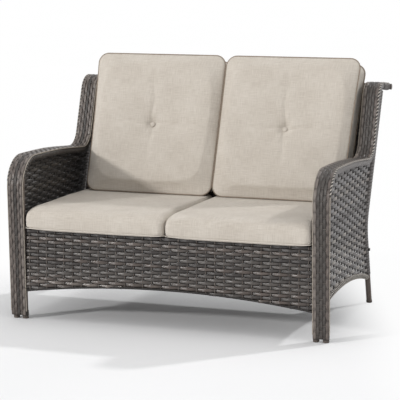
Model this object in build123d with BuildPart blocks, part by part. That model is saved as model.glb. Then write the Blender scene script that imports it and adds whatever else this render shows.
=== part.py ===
from build123d import *
from math import cos, radians, sin, tan
import os

# Patio loveseat in wrapped resin wicker, with two loose seat cushions and two loose back cushions.
# Millimetres, +Z up, the front faces -Y. Left and right are as seen from the front.
# The origin is on the floor, under the middle of the whole object.

os.makedirs("parts", exist_ok=True)

# Tubes and fits
tube_r = 11.0            # arm tubes, back stiles and top rails
tube_wall = 1.5
rail_r = 9.0             # seat frame and back bottom rail
rail_wall = 1.2
seat_gap = 0.3           # left where one piece sits against another

# Side profile of an arm, as the centre line of its tubes: rearwards from the front foot, and up
leg_bow = 22.0           # the front leg has leant forward by this much at arm height
arm_rise = 618.0
arm_mid_reach = 300.0
arm_mid_height = 617.0
dip_reach = 617.0        # where the arm turns up into the wing beside the back
dip_height = 592.0
roll_reach = 714.0       # where the wing rolls over to the rear
roll_height = 884.0
tip_reach = 865.0
tip_drop = 16.0          # how far the rolled end falls towards its tip
leg_bend = 105.0
arm_bend = 2500.0
dip_bend = 92.0
roll_bend = 60.0

# Half widths, to tube centres
inner_tube_x = 585.0
outer_foot_x = 622.5
outer_arm_x = 629.0      # the outer tube has leant out to this at arm height
end_rail_x = 645.0       # outer end of the short rail that closes the rolled arm

# Back stile, which is the rear leg and the side of the back
rear_foot_x = 604.0
rear_foot_reach = 730.0
stile_waist_x = 610.8
waist_reach = 598.0
waist_height = 340.0
waist_bend = 150.0
back_lean = 20.0         # degrees from upright, for the stiles, the back and its cushions

# Back
stay_r = 7.0
stay_count = 5
back_rail_height = 235.0
back_roll_bend = 45.0
spigot_length = 90.0

# Seat frame
seat_height = 354.0      # top of the woven deck
deck_thickness = 3.0
front_rail_reach = -2.0
rear_rail_reach = 574.0
arm_rail_bend_reach = 520.0
arm_rail_bend = 60.0
cross_bar_count = 3

# Woven skins
skin = 2.0               # arm bands, apron and back
panel_skin = 3.0         # side panels
band_lap = 8.0           # a band runs this far past the centres of its tubes
band_floor_gap = 22.0

# Openings of the side panels, a plain grid in place of their open weave
panel_hole_width = 28.0
panel_hole_height = 12.0
panel_hole_pitch = 58.0
panel_hole_rise = 33.0
panel_hole_margin = 9.0

# Arched rails under the apron and the side panels
apron_end_height = 111.0
apron_arch_height = 152.0
apron_rail_r = 6.0
apron_rail_lift = 8.0    # rail centre above the skin's lower edge
apron_stay_r = 5.0
apron_stay_count = 5
side_rail_r = 8.0
side_rail_front_height = 160.0
side_rail_mid_reach = 300.0
side_rail_mid_height = 172.0
side_rail_rear_height = 112.0

# Rungs between the two tubes of an arm
rung_r = 6.0
rung_count = 9
rung_first_share = 0.04
rung_last_share = 0.93

# Foot caps and end plugs
cap_r = 12.0
cap_height = 10.0
cap_round = 3.0
plug_length = 18.0
end_plug_height = 5.0
end_plug_round = 2.0

# Bolts
bolt_r = 3.0
bolt_hole_r = 3.3
bolt_head_r = 5.5
bolt_head_height = 4.0
bolt_tail = 2.0          # thread that stands past the nut
bolt_fit = 0.06
washer_r = 7.5
washer_thickness = 1.5
nut_r = 5.8
nut_height = 5.0
insert_length = 24.0
seat_bolt_front_reach = 90.0
seat_bolt_rear_reach = 430.0

# Seat cushions
seat_cushion_width = 567.0
seat_cushion_depth = 620.0
seat_cushion_thickness = 81.7
seat_cushion_overhang = 38.0   # the front edge stands this far before the front feet
seat_split = 3.0         # between the two seat cushions
seat_corner = 45.0
seat_crown_inset = 120.0
seat_pull = 4.0          # how far a side draws in between its corners
seat_crown_shares = (
    (0.0, 0.07), (0.05, 0.015), (0.14, 0.0), (0.62, 0.0),
    (0.80, 0.03), (0.91, 0.12), (0.97, 0.36), (1.0, 0.9),
)                        # height up the cushion, inset of its outline

# Back cushions
back_cushion_width = 560.0
back_cushion_height = 572.0
back_split = 4.0
back_boxing = 88.0       # between the front and the rear piping
back_front_crown = 24.0
back_rear_crown = 33.0
back_corner = 36.0
back_crown_inset = 130.0
back_pull = 5.0
boxing_draw = 3.0        # how far the boxing draws in between its seams
piping_r = 3.0
back_crown_shares = ((0.0, 0.0), (0.38, 0.09), (0.72, 0.26), (0.92, 0.55), (1.0, 0.9))

# Covers, tufts and zips
cover_thickness = 1.5
core_gap = 0.4
corner_growth_share = 0.4
front_tuft_depth = 17.0
rear_tuft_depth = 10.0
tuft_r = 75.0
tuft_mid_share = 0.42
tuft_floor_margin = 2.0
tuft_height_share = 0.49
button_r = 8.0
button_height = 6.0
button_round = 2.0
twine_r = 1.2
zip_thickness = 1.0
zip_height = 14.0
zip_width_share = 0.72

# Derived sizes
tip_height = roll_height - tip_drop
front_y = -(tip_reach + tube_r - seat_cushion_overhang) / 2
bay_half = inner_tube_x - tube_r - seat_gap
rail_z = seat_height - deck_thickness - seat_gap - rail_r
side_bar_x = bay_half - rail_r
arm_rail_x = bay_half + seat_gap + rail_r
lean = radians(back_lean)
outer_flare = (outer_arm_x - outer_foot_x) / arm_rise
stile_flare = (stile_waist_x - rear_foot_x) / waist_height
panel_taper = (outer_foot_x - rear_foot_x) / rear_foot_reach
cap_clear = cap_height + seat_gap
sides = {"left": -1, "right": 1}


def stile_x(height):
    return rear_foot_x + stile_flare * height


def panel_x(reach, height):
    return outer_foot_x - panel_taper * reach + outer_flare * height


def leg_reach(height):
    """How far rearwards the centre line of a front leg is at a height."""
    return -leg_bow * height / arm_rise


def stile_reach(height):
    """How far rearwards the centre line of a back stile is at a height."""
    lower_leg = rear_foot_reach - (rear_foot_reach - waist_reach) * height / waist_height
    return max(lower_leg, waist_reach + (height - waist_height) * tan(lean))


def along(start, end, distance):
    """The point at a distance from start on the way to end."""
    point = Vector(*start) + (Vector(*end) - Vector(*start)).normalized() * distance
    return point.X, point.Y


def crossing(a, b, c, d):
    """Where the line through a and b meets the line through c and d."""
    first, second, across = Vector(*b) - Vector(*a), Vector(*d) - Vector(*c), Vector(*c) - Vector(*a)
    share = (across.X * second.Y - across.Y * second.X) / (first.X * second.Y - first.Y * second.X)
    point = Vector(*a) + first * share
    return point.X, point.Y


def beside(corners, bends, shift):
    """Corners and bends of the line that runs beside a route, a shift to its left."""
    points = [Vector(*corner) for corner in corners]
    ways = [(after - before).normalized() for before, after in zip(points, points[1:])]
    shifts = [Vector(-way.Y, way.X) * shift for way in ways]
    runs = [(p + s, q + s) for p, q, s in zip(points, points[1:], shifts)]
    moved, new_bends = [(runs[0][0].X, runs[0][0].Y)], []
    for number, bend in enumerate(bends):
        moved.append(crossing(*runs[number], *runs[number + 1]))
        way, next_way = ways[number], ways[number + 1]
        turns_right = way.X * next_way.Y < way.Y * next_way.X
        new_bends.append(bend + shift if turns_right else bend - shift)
    moved.append((runs[-1][1].X, runs[-1][1].Y))
    return moved, new_bends


# Routes of the tubes, as rearward reach and height
arm_corners = [
    (0, 0), (-leg_bow, arm_rise), (arm_mid_reach, arm_mid_height),
    (dip_reach, dip_height), (roll_reach, roll_height), (tip_reach, tip_height),
]
arm_bends = [leg_bend, arm_bend, dip_bend, roll_bend]
arm_run = [along(arm_corners[0], arm_corners[1], cap_clear)] + arm_corners[1:]

waist_point = (waist_reach, waist_height)
lean_point = (stile_reach(roll_height), roll_height)
stile_top = crossing(waist_point, lean_point, arm_corners[-2], arm_corners[-1])
stile_corners = [(rear_foot_reach, 0), waist_point, stile_top]
stile_bends = [waist_bend]
stile_run = [along(stile_corners[0], stile_corners[1], cap_clear)] + stile_corners[1:]

back_tip = (tip_reach, tip_height + tube_r - stay_r)
back_roll_point = crossing(waist_point, lean_point, (roll_reach, roll_height + tube_r - stay_r),
                           back_tip)
back_corners = [(stile_reach(back_rail_height), back_rail_height), waist_point, back_roll_point,
                back_tip]
back_bends = [waist_bend, back_roll_bend]

# Planes
middle = Plane(origin=(0, front_y, 0), x_dir=(0, 1, 0), z_dir=(1, 0, 0))


def side_plane(side, foot_x, flare, taper=0):
    """Plane of a side: local x to the rear and local y up, leaning out by flare, narrowing by taper."""
    return Plane(origin=(side * foot_x, front_y, 0), x_dir=(-side * taper, 1, 0),
                 z_dir=(1, side * taper, -side * flare))


outer_plane = {side: side_plane(side, outer_foot_x, outer_flare) for side in sides.values()}
inner_plane = {side: side_plane(side, inner_tube_x, 0) for side in sides.values()}
stile_plane = {side: side_plane(side, rear_foot_x, stile_flare) for side in sides.values()}
panel_plane = {side: side_plane(side, outer_foot_x, outer_flare, panel_taper) for side in sides.values()}


def routed(plane, corners, bends, radius, bore=0):
    """A round tube along straight runs and bends, drawn in a plane, solid where it has no bore."""
    with BuildPart() as tube:
        with BuildLine(plane) as route:
            FilletPolyline(*corners, radius=bends)
        with BuildSketch(Plane(origin=route.line @ 0, z_dir=route.line % 0)):
            Circle(radius)
            if bore:
                Circle(bore, mode=Mode.SUBTRACT)
        sweep(path=route.line)
    return tube.part


def rod(start, end, radius, mode=Mode.ADD):
    """A round bar between two points, in the part that is being built."""
    way = Vector(*end) - Vector(*start)
    with Locations(Plane(origin=start, z_dir=way).location):
        Cylinder(radius, way.length, align=(Align.CENTER, Align.CENTER, Align.MIN), mode=mode)


def save(made, label):
    """Label a finished piece and write it."""
    made.part.label = label
    export_step(made.part, f"parts/{label}.step")


# The space of each tube with its gap, for coping the ends of the pieces that meet it
outer_room, inner_room, stile_room = {}, {}, {}
for side in sides.values():
    outer_room[side] = routed(outer_plane[side], arm_corners, arm_bends, tube_r + seat_gap)
    inner_room[side] = routed(inner_plane[side], arm_corners, arm_bends, tube_r + seat_gap)
    stile_room[side] = routed(stile_plane[side], stile_corners, stile_bends, tube_r + seat_gap)

tip_y = front_y + tip_reach
with BuildPart() as tip_room:
    rod((-end_rail_x, tip_y, tip_height), (end_rail_x, tip_y, tip_height), tube_r + seat_gap)

# Centres of the bolts that join the seat to the arms, and of those that join the back rail
seat_bolt_points = [(front_y + reach, rail_z) for reach in (seat_bolt_front_reach, seat_bolt_rear_reach)]
back_rail_point = (front_y + stile_reach(back_rail_height), back_rail_height)
back_rail_half = stile_x(back_rail_height)

# Arm frames: two bent tubes side by side
for name, side in sides.items():
    for tube_name, plane in (("outer", outer_plane[side]), ("inner", inner_plane[side])):
        with BuildPart() as arm_tube:
            add(routed(plane, arm_run, arm_bends, tube_r, tube_r - tube_wall))
            add(tip_room.part, mode=Mode.SUBTRACT)
        save(arm_tube, f"{name}_arm_{tube_name}_tube")

# Rungs that tie the two tubes of an arm
with BuildLine(middle) as arm_route:
    FilletPolyline(*arm_corners, radius=arm_bends)
rung_step = (rung_last_share - rung_first_share) / (rung_count - 1)
for name, side in sides.items():
    with BuildPart() as arm_rungs:
        for number in range(rung_count):
            centre = arm_route.line @ (rung_first_share + rung_step * number)
            inside = inner_tube_x + tube_r + seat_gap
            outside = outer_foot_x + outer_flare * centre.Z - tube_r - seat_gap
            rod((side * inside, centre.Y, centre.Z), (side * outside, centre.Y, centre.Z), rung_r)
    save(arm_rungs, f"{name}_arm_rungs")

# Short rail that closes each rolled arm, its end plug, and the back's top rail between them
for name, side in sides.items():
    with BuildPart() as end_rail:
        start = (side * (bay_half + seat_gap), tip_y, tip_height)
        end = (side * end_rail_x, tip_y, tip_height)
        rod(start, end, tube_r)
        rod(start, end, tube_r - tube_wall, mode=Mode.SUBTRACT)
    save(end_rail, f"{name}_arm_end_rail")

with BuildPart() as arm_end_plugs:
    for side in sides.values():
        face_x = end_rail_x + seat_gap
        rod((side * face_x, tip_y, tip_height), (side * (face_x + end_plug_height), tip_y, tip_height), cap_r)
        rod((side * (face_x - plug_length), tip_y, tip_height), (side * face_x, tip_y, tip_height),
            tube_r - tube_wall - seat_gap)
    fillet(arm_end_plugs.edges().group_by(Axis.X)[0], radius=end_plug_round)
    fillet(arm_end_plugs.edges().group_by(Axis.X)[-1], radius=end_plug_round)
save(arm_end_plugs, "arm_end_plugs")

with BuildPart() as back_top_rail:
    start, end = (-bay_half, tip_y, tip_height), (bay_half, tip_y, tip_height)
    rod(start, end, tube_r)
    rod(start, end, tube_r - tube_wall, mode=Mode.SUBTRACT)
save(back_top_rail, "back_top_rail")

with BuildPart() as back_rail_spigots:
    for side in sides.values():
        inward, outward = bay_half - spigot_length / 2, bay_half + spigot_length / 2
        rod((side * inward, tip_y, tip_height), (side * outward, tip_y, tip_height),
            tube_r - tube_wall - seat_gap)
save(back_rail_spigots, "back_rail_spigots")

# Back stiles, coped under the rolled arms and drilled for the bolts of the back's bottom rail
for name, side in sides.items():
    with BuildPart() as back_stile:
        add(routed(stile_plane[side], stile_run, stile_bends, tube_r, tube_r - tube_wall))
        add(outer_room[side], mode=Mode.SUBTRACT)
        rod((side * bay_half, *back_rail_point), (side * end_rail_x, *back_rail_point), bolt_hole_r,
            mode=Mode.SUBTRACT)
    save(back_stile, f"{name}_back_stile")

# Arched rail under each side panel, coped to the leg and the stile
side_rail_room = {}
for name, side in sides.items():
    side_rail_ends = ((leg_reach(side_rail_front_height), side_rail_front_height),
                      (stile_reach(side_rail_rear_height), side_rail_rear_height))
    side_rail_middle = (side_rail_mid_reach, side_rail_mid_height)
    with BuildLine(panel_plane[side]) as side_arch:
        ThreePointArc(side_rail_ends[0], side_rail_middle, side_rail_ends[1])
    with BuildPart() as side_bottom_rail:
        with BuildSketch(Plane(origin=side_arch.line @ 0, z_dir=side_arch.line % 0)):
            Circle(side_rail_r)
            Circle(side_rail_r - rail_wall, mode=Mode.SUBTRACT)
        sweep(path=side_arch.line)
        add(outer_room[side], mode=Mode.SUBTRACT)
        add(stile_room[side], mode=Mode.SUBTRACT)
    save(side_bottom_rail, f"{name}_side_bottom_rail")
    with BuildPart() as room:
        with BuildSketch(Plane(origin=side_arch.line @ 0, z_dir=side_arch.line % 0)):
            Circle(side_rail_r + seat_gap)
        sweep(path=side_arch.line)
    side_rail_room[side] = room.part

# Seat rail of each arm frame, bent out at the rear to the inner flank of the stile
rail_end_reach = stile_reach(rail_z)
rail_end_x = panel_x(rail_end_reach, rail_z) - panel_skin / 2 - seat_gap - rail_r
for name, side in sides.items():
    leg_point = (side * arm_rail_x, front_y + leg_reach(rail_z))
    bend_point = (side * arm_rail_x, front_y + arm_rail_bend_reach)
    stile_point = (side * rail_end_x, front_y + rail_end_reach)
    with BuildPart() as arm_seat_rail:
        add(routed(Plane.XY.offset(rail_z), [leg_point, bend_point, stile_point], [arm_rail_bend],
                   rail_r, rail_r - rail_wall))
        add(inner_room[side], mode=Mode.SUBTRACT)
        add(stile_room[side], mode=Mode.SUBTRACT)
        for point in seat_bolt_points:
            rod((side * bay_half, *point), (side * outer_foot_x, *point), bolt_hole_r, mode=Mode.SUBTRACT)
    save(arm_seat_rail, f"{name}_arm_seat_rail")

# Woven band over the two tubes of each arm, from foot to rolled end
for name, side in sides.items():
    band_low = side * (inner_tube_x - band_lap)
    band_high = side * (outer_arm_x + band_lap)
    band_run = [along(arm_corners[0], arm_corners[1], band_floor_gap)] + arm_corners[1:]
    with BuildPart() as arm_band:
        with BuildLine(middle) as route:
            FilletPolyline(*band_run, radius=arm_bends)
        with BuildSketch(Plane(origin=route.line @ 0, x_dir=(1, 0, 0), z_dir=route.line % 0)):
            with Locations(((band_low + band_high) / 2, -(tube_r + seat_gap + skin / 2))):
                Rectangle(abs(band_high - band_low), skin)
        sweep(path=route.line)
    save(arm_band, f"{name}_arm_band_weave")

# Woven side panels, inside the arm's tubes, the stile and the arched rail
arm_inside, arm_inside_bends = beside(arm_corners, arm_bends, -(tube_r + seat_gap))
stile_front, stile_front_bends = beside(stile_corners, stile_bends, tube_r + seat_gap)
panel_top = crossing(*arm_inside[-2:], *stile_front[-2:])
floor_line = (0, side_rail_front_height), (tip_reach, side_rail_front_height)
rear_line = (0, side_rail_rear_height), (tip_reach, side_rail_rear_height)
panel_front_foot = crossing(*arm_inside[:2], *floor_line)
panel_rear_foot = crossing(*stile_front[:2], *rear_line)
panel_corners = [panel_front_foot, *arm_inside[1:-1], panel_top, stile_front[1], panel_rear_foot]
hole_columns, hole_rows = int(tip_reach / panel_hole_pitch), int(roll_height / panel_hole_rise)


def panel_holes(outline):
    """Centres of the grid's openings that lie in a panel's outline with their margins."""
    half_width = panel_hole_width / 2 + panel_hole_margin
    half_height = panel_hole_height / 2 + panel_hole_margin
    centres = [(column * panel_hole_pitch, row * panel_hole_rise)
               for column in range(hole_columns + 1) for row in range(hole_rows + 1)]
    return [(x, y) for x, y in centres
            if all(outline.is_inside(Vector(x + across * half_width, y + up * half_height))
                   for across in (-1, 0, 1) for up in (-1, 0, 1))]


for name, side in sides.items():
    with BuildPart() as side_panel:
        with BuildSketch(panel_plane[side]) as panel:
            with BuildLine():
                FilletPolyline(*panel_corners, radius=[*arm_inside_bends, 0, *stile_front_bends])
                ThreePointArc(panel_rear_foot, (side_rail_mid_reach, side_rail_mid_height),
                              panel_front_foot)
            make_face()
            with Locations(*panel_holes(panel.sketch_local.faces()[0])):
                Rectangle(panel_hole_width, panel_hole_height, mode=Mode.SUBTRACT)
        extrude(amount=panel_skin / 2, both=True)
        add(side_rail_room[side], mode=Mode.SUBTRACT)
    save(side_panel, f"{name}_side_panel_weave")

# Back: a bottom rail between the stiles, stays that roll over to the top rail, and the woven skin
with BuildPart() as back_rail_room:
    rod((-back_rail_half, *back_rail_point), (back_rail_half, *back_rail_point), rail_r + seat_gap)

with BuildPart() as back_bottom_rail:
    rod((-back_rail_half, *back_rail_point), (back_rail_half, *back_rail_point), rail_r)
    rod((-back_rail_half, *back_rail_point), (back_rail_half, *back_rail_point), rail_r - rail_wall,
        mode=Mode.SUBTRACT)
    for side in sides.values():
        add(stile_room[side], mode=Mode.SUBTRACT)
save(back_bottom_rail, "back_bottom_rail")

stay_half = bay_half - 2 * stay_r
with BuildPart() as back_stays:
    for number in range(stay_count):
        stay_x = -stay_half + 2 * stay_half * number / (stay_count - 1)
        stay_plane = Plane(origin=(stay_x, front_y, 0), x_dir=(0, 1, 0), z_dir=(1, 0, 0))
        add(routed(stay_plane, back_corners, back_bends, stay_r, stay_r - rail_wall))
    add(back_rail_room.part, mode=Mode.SUBTRACT)
    add(tip_room.part, mode=Mode.SUBTRACT)
save(back_stays, "back_stays")

with BuildPart() as back_panel:
    with BuildLine(middle) as route:
        FilletPolyline(*back_corners, radius=back_bends)
    with BuildSketch(Plane(origin=route.line @ 0, x_dir=(1, 0, 0), z_dir=route.line % 0)):
        with Locations((0, -(stay_r + seat_gap + skin / 2))):
            Rectangle(2 * bay_half, skin)
    sweep(path=route.line)
    add(back_rail_room.part, mode=Mode.SUBTRACT)
save(back_panel, "back_panel_weave")

# Seat frame: side bars, front and rear rails between them, and cross bars
bar_front_y = front_y + front_rail_reach - rail_r
bar_rear_y = front_y + rear_rail_reach + rail_r
with BuildPart() as seat_side_bars:
    for side in sides.values():
        start, end = (side * side_bar_x, bar_front_y, rail_z), (side * side_bar_x, bar_rear_y, rail_z)
        rod(start, end, rail_r)
        rod(start, end, rail_r - rail_wall, mode=Mode.SUBTRACT)
        for point in seat_bolt_points:
            rod((side * (side_bar_x - rail_r), *point), (side * bay_half, *point), bolt_hole_r,
                mode=Mode.SUBTRACT)
save(seat_side_bars, "seat_side_bars")

cross_rail_half = side_bar_x - rail_r - seat_gap
for label, reach in (("seat_front_rail", front_rail_reach), ("seat_rear_rail", rear_rail_reach)):
    with BuildPart() as seat_rail:
        start = (-cross_rail_half, front_y + reach, rail_z)
        end = (cross_rail_half, front_y + reach, rail_z)
        rod(start, end, rail_r)
        rod(start, end, rail_r - rail_wall, mode=Mode.SUBTRACT)
    save(seat_rail, label)

with BuildPart() as seat_cross_bars:
    for number in range(cross_bar_count):
        bar_x = -side_bar_x + 2 * side_bar_x * (number + 1) / (cross_bar_count + 1)
        start = (bar_x, front_y + front_rail_reach + rail_r + seat_gap, rail_z)
        end = (bar_x, front_y + rear_rail_reach - rail_r - seat_gap, rail_z)
        rod(start, end, rail_r)
        rod(start, end, rail_r - rail_wall, mode=Mode.SUBTRACT)
save(seat_cross_bars, "seat_cross_bars")

with BuildPart() as seat_deck:
    with BuildSketch(Plane.XY.offset(seat_height - deck_thickness)):
        with Locations((0, (bar_front_y + bar_rear_y) / 2)):
            Rectangle(2 * bay_half, bar_rear_y - bar_front_y)
    extrude(amount=deck_thickness)
save(seat_deck, "seat_deck_weave")

# Apron: the woven skin before the seat's front rail, over an arched rail and short upright stays
apron_y = front_y + front_rail_reach
apron_back = bar_front_y - seat_gap
arch_rail_y = bar_front_y + apron_rail_r
apron_ends_z = apron_end_height + apron_rail_lift
apron_top_z = apron_arch_height + apron_rail_lift
with BuildLine(Plane(origin=(0, arch_rail_y, 0), x_dir=(1, 0, 0), z_dir=(0, -1, 0))) as apron_arch:
    ThreePointArc((-inner_tube_x, apron_ends_z), (0, apron_top_z), (inner_tube_x, apron_ends_z))
arch_start = Plane(origin=apron_arch.line @ 0, z_dir=apron_arch.line % 0)

with BuildPart() as apron_rail:
    with BuildSketch(arch_start):
        Circle(apron_rail_r)
        Circle(apron_rail_r - rail_wall, mode=Mode.SUBTRACT)
    sweep(path=apron_arch.line)
    for side in sides.values():
        add(inner_room[side], mode=Mode.SUBTRACT)
save(apron_rail, "apron_bottom_rail")

with BuildPart() as apron_rail_room:
    with BuildSketch(arch_start):
        Circle(apron_rail_r + seat_gap)
    sweep(path=apron_arch.line)

with BuildPart() as front_rail_room:
    rod((-side_bar_x, apron_y, rail_z), (side_bar_x, apron_y, rail_z), rail_r + seat_gap)

with BuildPart() as apron_stays:
    for number in range(apron_stay_count):
        stay_x = -side_bar_x + 2 * side_bar_x * (number + 1) / (apron_stay_count + 1)
        rise_share = 1 - (stay_x / inner_tube_x) ** 2
        foot_z = apron_ends_z + (apron_top_z - apron_ends_z) * rise_share
        rod((stay_x, arch_rail_y, foot_z), (stay_x, arch_rail_y, rail_z), apron_stay_r)
    add(apron_rail_room.part, mode=Mode.SUBTRACT)
    add(front_rail_room.part, mode=Mode.SUBTRACT)
save(apron_stays, "apron_stays")

with BuildPart() as apron:
    with BuildSketch(Plane(origin=(0, apron_back, 0), x_dir=(1, 0, 0), z_dir=(0, -1, 0))):
        with BuildLine():
            Polyline((-bay_half, apron_end_height), (-bay_half, seat_height), (bay_half, seat_height),
                     (bay_half, apron_end_height))
            ThreePointArc((bay_half, apron_end_height), (0, apron_arch_height),
                          (-bay_half, apron_end_height))
        make_face()
    extrude(amount=skin)
save(apron, "apron_weave")


# Foot caps, cut flat at the floor, each with a plug inside its tube
def foot_cap(plane, corners):
    foot = plane.from_local_coords(Vector(*corners[0]))
    way = (plane.from_local_coords(Vector(*corners[1])) - foot).normalized()
    with BuildPart() as cap:
        rod(foot - way * cap_height, foot + way * cap_height, cap_r)
        split(bisect_by=Plane.XY, keep=Keep.TOP)
        fillet(cap.edges().group_by(Axis.Z)[0], radius=cap_round)
        rod(foot, foot + way * (cap_height + plug_length), tube_r - tube_wall - seat_gap)
        split(bisect_by=Plane.XY, keep=Keep.TOP)
    return cap.part


front_caps = [foot_cap(plane[side], arm_corners) for plane in (inner_plane, outer_plane)
              for side in sides.values()]
rear_caps = [foot_cap(stile_plane[side], stile_corners) for side in sides.values()]
for label, caps in (("front_foot_caps", front_caps), ("rear_foot_caps", rear_caps)):
    with BuildPart() as foot_caps:
        for cap in caps:
            add(cap)
    save(foot_caps, label)

# Bolts that join the seat to the arms: head outside the arm's seat rail, nut inside the side bar
nut_face = side_bar_x - rail_r - seat_gap
arm_face = arm_rail_x + rail_r + seat_gap
with BuildPart() as seat_bolts:
    for side in sides.values():
        for point in seat_bolt_points:
            head_x = arm_face + washer_thickness
            rod((side * (nut_face - nut_height - bolt_tail), *point), (side * head_x, *point), bolt_r)
            rod((side * head_x, *point), (side * (head_x + bolt_head_height), *point), bolt_head_r)
save(seat_bolts, "seat_bolts")

with BuildPart() as seat_washers:
    for side in sides.values():
        for point in seat_bolt_points:
            inward, outward = (side * arm_face, *point), (side * (arm_face + washer_thickness), *point)
            rod(inward, outward, washer_r)
            rod(inward, outward, bolt_hole_r, mode=Mode.SUBTRACT)
save(seat_washers, "seat_washers")

with BuildPart() as seat_nuts:
    for side in sides.values():
        for point in seat_bolt_points:
            with BuildSketch(Plane(origin=(side * nut_face, *point), z_dir=(-side, 0, 0))):
                RegularPolygon(nut_r, side_count=6)
                Circle(bolt_r + bolt_fit, mode=Mode.SUBTRACT)
            extrude(amount=nut_height)
save(seat_nuts, "seat_nuts")

# Bolts that join the back's bottom rail to the stiles, into threaded inserts in the rail's ends
stile_face = back_rail_half + tube_r + seat_gap
insert_end = back_rail_half - tube_r - rail_r / 2
with BuildPart() as back_bolts:
    for side in sides.values():
        head_x = stile_face + washer_thickness
        rod((side * (insert_end - insert_length - bolt_tail), *back_rail_point),
            (side * head_x, *back_rail_point), bolt_r)
        rod((side * head_x, *back_rail_point), (side * (head_x + bolt_head_height), *back_rail_point),
            bolt_head_r)
save(back_bolts, "back_bolts")

with BuildPart() as back_washers:
    for side in sides.values():
        inward = (side * stile_face, *back_rail_point)
        outward = (side * (stile_face + washer_thickness), *back_rail_point)
        rod(inward, outward, washer_r)
        rod(inward, outward, bolt_hole_r, mode=Mode.SUBTRACT)
save(back_washers, "back_washers")

with BuildPart() as back_rail_inserts:
    for side in sides.values():
        inward = (side * (insert_end - insert_length), *back_rail_point)
        outward = (side * insert_end, *back_rail_point)
        rod(inward, outward, rail_r - rail_wall - seat_gap)
        rod(inward, outward, bolt_r + bolt_fit, mode=Mode.SUBTRACT)
save(back_rail_inserts, "back_rail_inserts")


# Cushions: closed forms lofted through stacked outlines, whose sides draw in between the corners
def pillow_outline(plane, half, low, high, corner, pulls):
    """An outline from low to high, with how far its low, right, high and left sides draw in."""
    low_pull, right_pull, high_pull, left_pull = pulls
    middle_y = (low + high) / 2
    edges = (
        ((-half, low), (0, low + low_pull), (half, low), low_pull),
        ((half, low), (half - right_pull, middle_y), (half, high), right_pull),
        ((half, high), (0, high - high_pull), (-half, high), high_pull),
        ((-half, high), (-half + left_pull, middle_y), (-half, low), left_pull),
    )
    with BuildSketch(plane) as outline:
        with BuildLine():
            for start, through, end, pull in edges:
                if pull:
                    ThreePointArc(start, through, end)
                else:
                    Line(start, end)
        make_face()
        fillet(outline.vertices(), radius=corner)
    return outline.sketch


def stacked(outlines):
    with BuildPart() as form:
        loft(sections=outlines, ruled=True)
    return form.part


def seat_form(centre_x, shrink):
    """A seat cushion's form, drawn in by shrink all round."""
    pulls = (seat_pull, seat_pull, 0, seat_pull)
    outlines = []
    for height_share, inset_share in seat_crown_shares:
        height = shrink + height_share * (seat_cushion_thickness - 2 * shrink)
        inset = shrink + inset_share * seat_crown_inset
        corner = seat_corner - shrink + inset_share * seat_crown_inset * corner_growth_share
        plane = Plane(origin=(centre_x, front_y - seat_cushion_overhang,
                              seat_height + seat_gap + height))
        outlines.append(pillow_outline(plane, seat_cushion_width / 2 - inset, inset,
                                       seat_cushion_depth - inset, corner, pulls))
    return stacked(outlines)


for name, side in sides.items():
    centre_x = side * (seat_split + seat_cushion_width) / 2
    rear_y = front_y - seat_cushion_overhang + seat_cushion_depth
    zip_z = seat_height + seat_gap + seat_cushion_thickness * (seat_crown_shares[2][0]
                                                               + seat_crown_shares[3][0]) / 2
    zip_width = seat_cushion_width * zip_width_share
    outer_form, inner_form = seat_form(centre_x, 0), seat_form(centre_x, cover_thickness)
    with BuildPart() as seat_cover:
        add(outer_form)
        add(inner_form, mode=Mode.SUBTRACT)
        with Locations((centre_x, rear_y, zip_z)):
            Box(zip_width, 4 * cover_thickness, zip_height, mode=Mode.SUBTRACT)
    save(seat_cover, f"{name}_seat_cushion_cover")
    core_form = seat_form(centre_x, cover_thickness + core_gap)
    with BuildPart() as seat_core:
        add(core_form)
    save(seat_core, f"{name}_seat_cushion_core")
    with BuildPart() as seat_zip:
        with Locations((centre_x, rear_y - zip_thickness, zip_z)):
            Box(zip_width - 2 * seat_gap, zip_thickness, zip_height - 2 * seat_gap)
    save(seat_zip, f"{name}_seat_cushion_zip")

# A back cushion stands on its piping on the seat cushion and leans on the woven back.
# Local y runs up its lean, z to the front.
back_foot_z = seat_height + seat_cushion_thickness + 3 * seat_gap + 2 * piping_r
back_set_off = stay_r + skin + 2 * seat_gap + back_rear_crown + back_boxing
back_front_reach = stile_reach(back_foot_z) - back_set_off / cos(lean)
back_cover_half = back_cushion_width / 2 - 2 * piping_r - seat_gap
tuft_y = back_cushion_height * tuft_height_share


def back_plane(centre_x, height):
    """Plane across a back cushion at a height before its front seam."""
    forward = Vector(0, -cos(lean), sin(lean))
    origin = Vector(centre_x, front_y + back_front_reach, back_foot_z) + forward * height
    return Plane(origin=origin, x_dir=(1, 0, 0), z_dir=forward)


def back_form(centre_x, shrink):
    """A back cushion's form without its tufts, drawn in by shrink all round."""
    rear = [(-back_boxing - rise * (back_rear_crown - shrink), share * back_crown_inset, share)
            for rise, share in reversed(back_crown_shares)]
    front = [(rise * (back_front_crown - shrink), share * back_crown_inset, share)
             for rise, share in back_crown_shares]
    outlines = []
    for height, inset, share in rear + [(-back_boxing / 2, 0, 0)] + front:
        draw = boxing_draw if height == -back_boxing / 2 else 0
        low = -height * tan(lean) + shrink + inset
        corner = back_corner - shrink + inset * corner_growth_share
        outlines.append(pillow_outline(
            back_plane(centre_x, height), back_cover_half - shrink - inset - draw, low,
            back_cushion_height - shrink - inset - draw, corner,
            (back_pull * share, back_pull, back_pull, back_pull)))
    return stacked(outlines)


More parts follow.
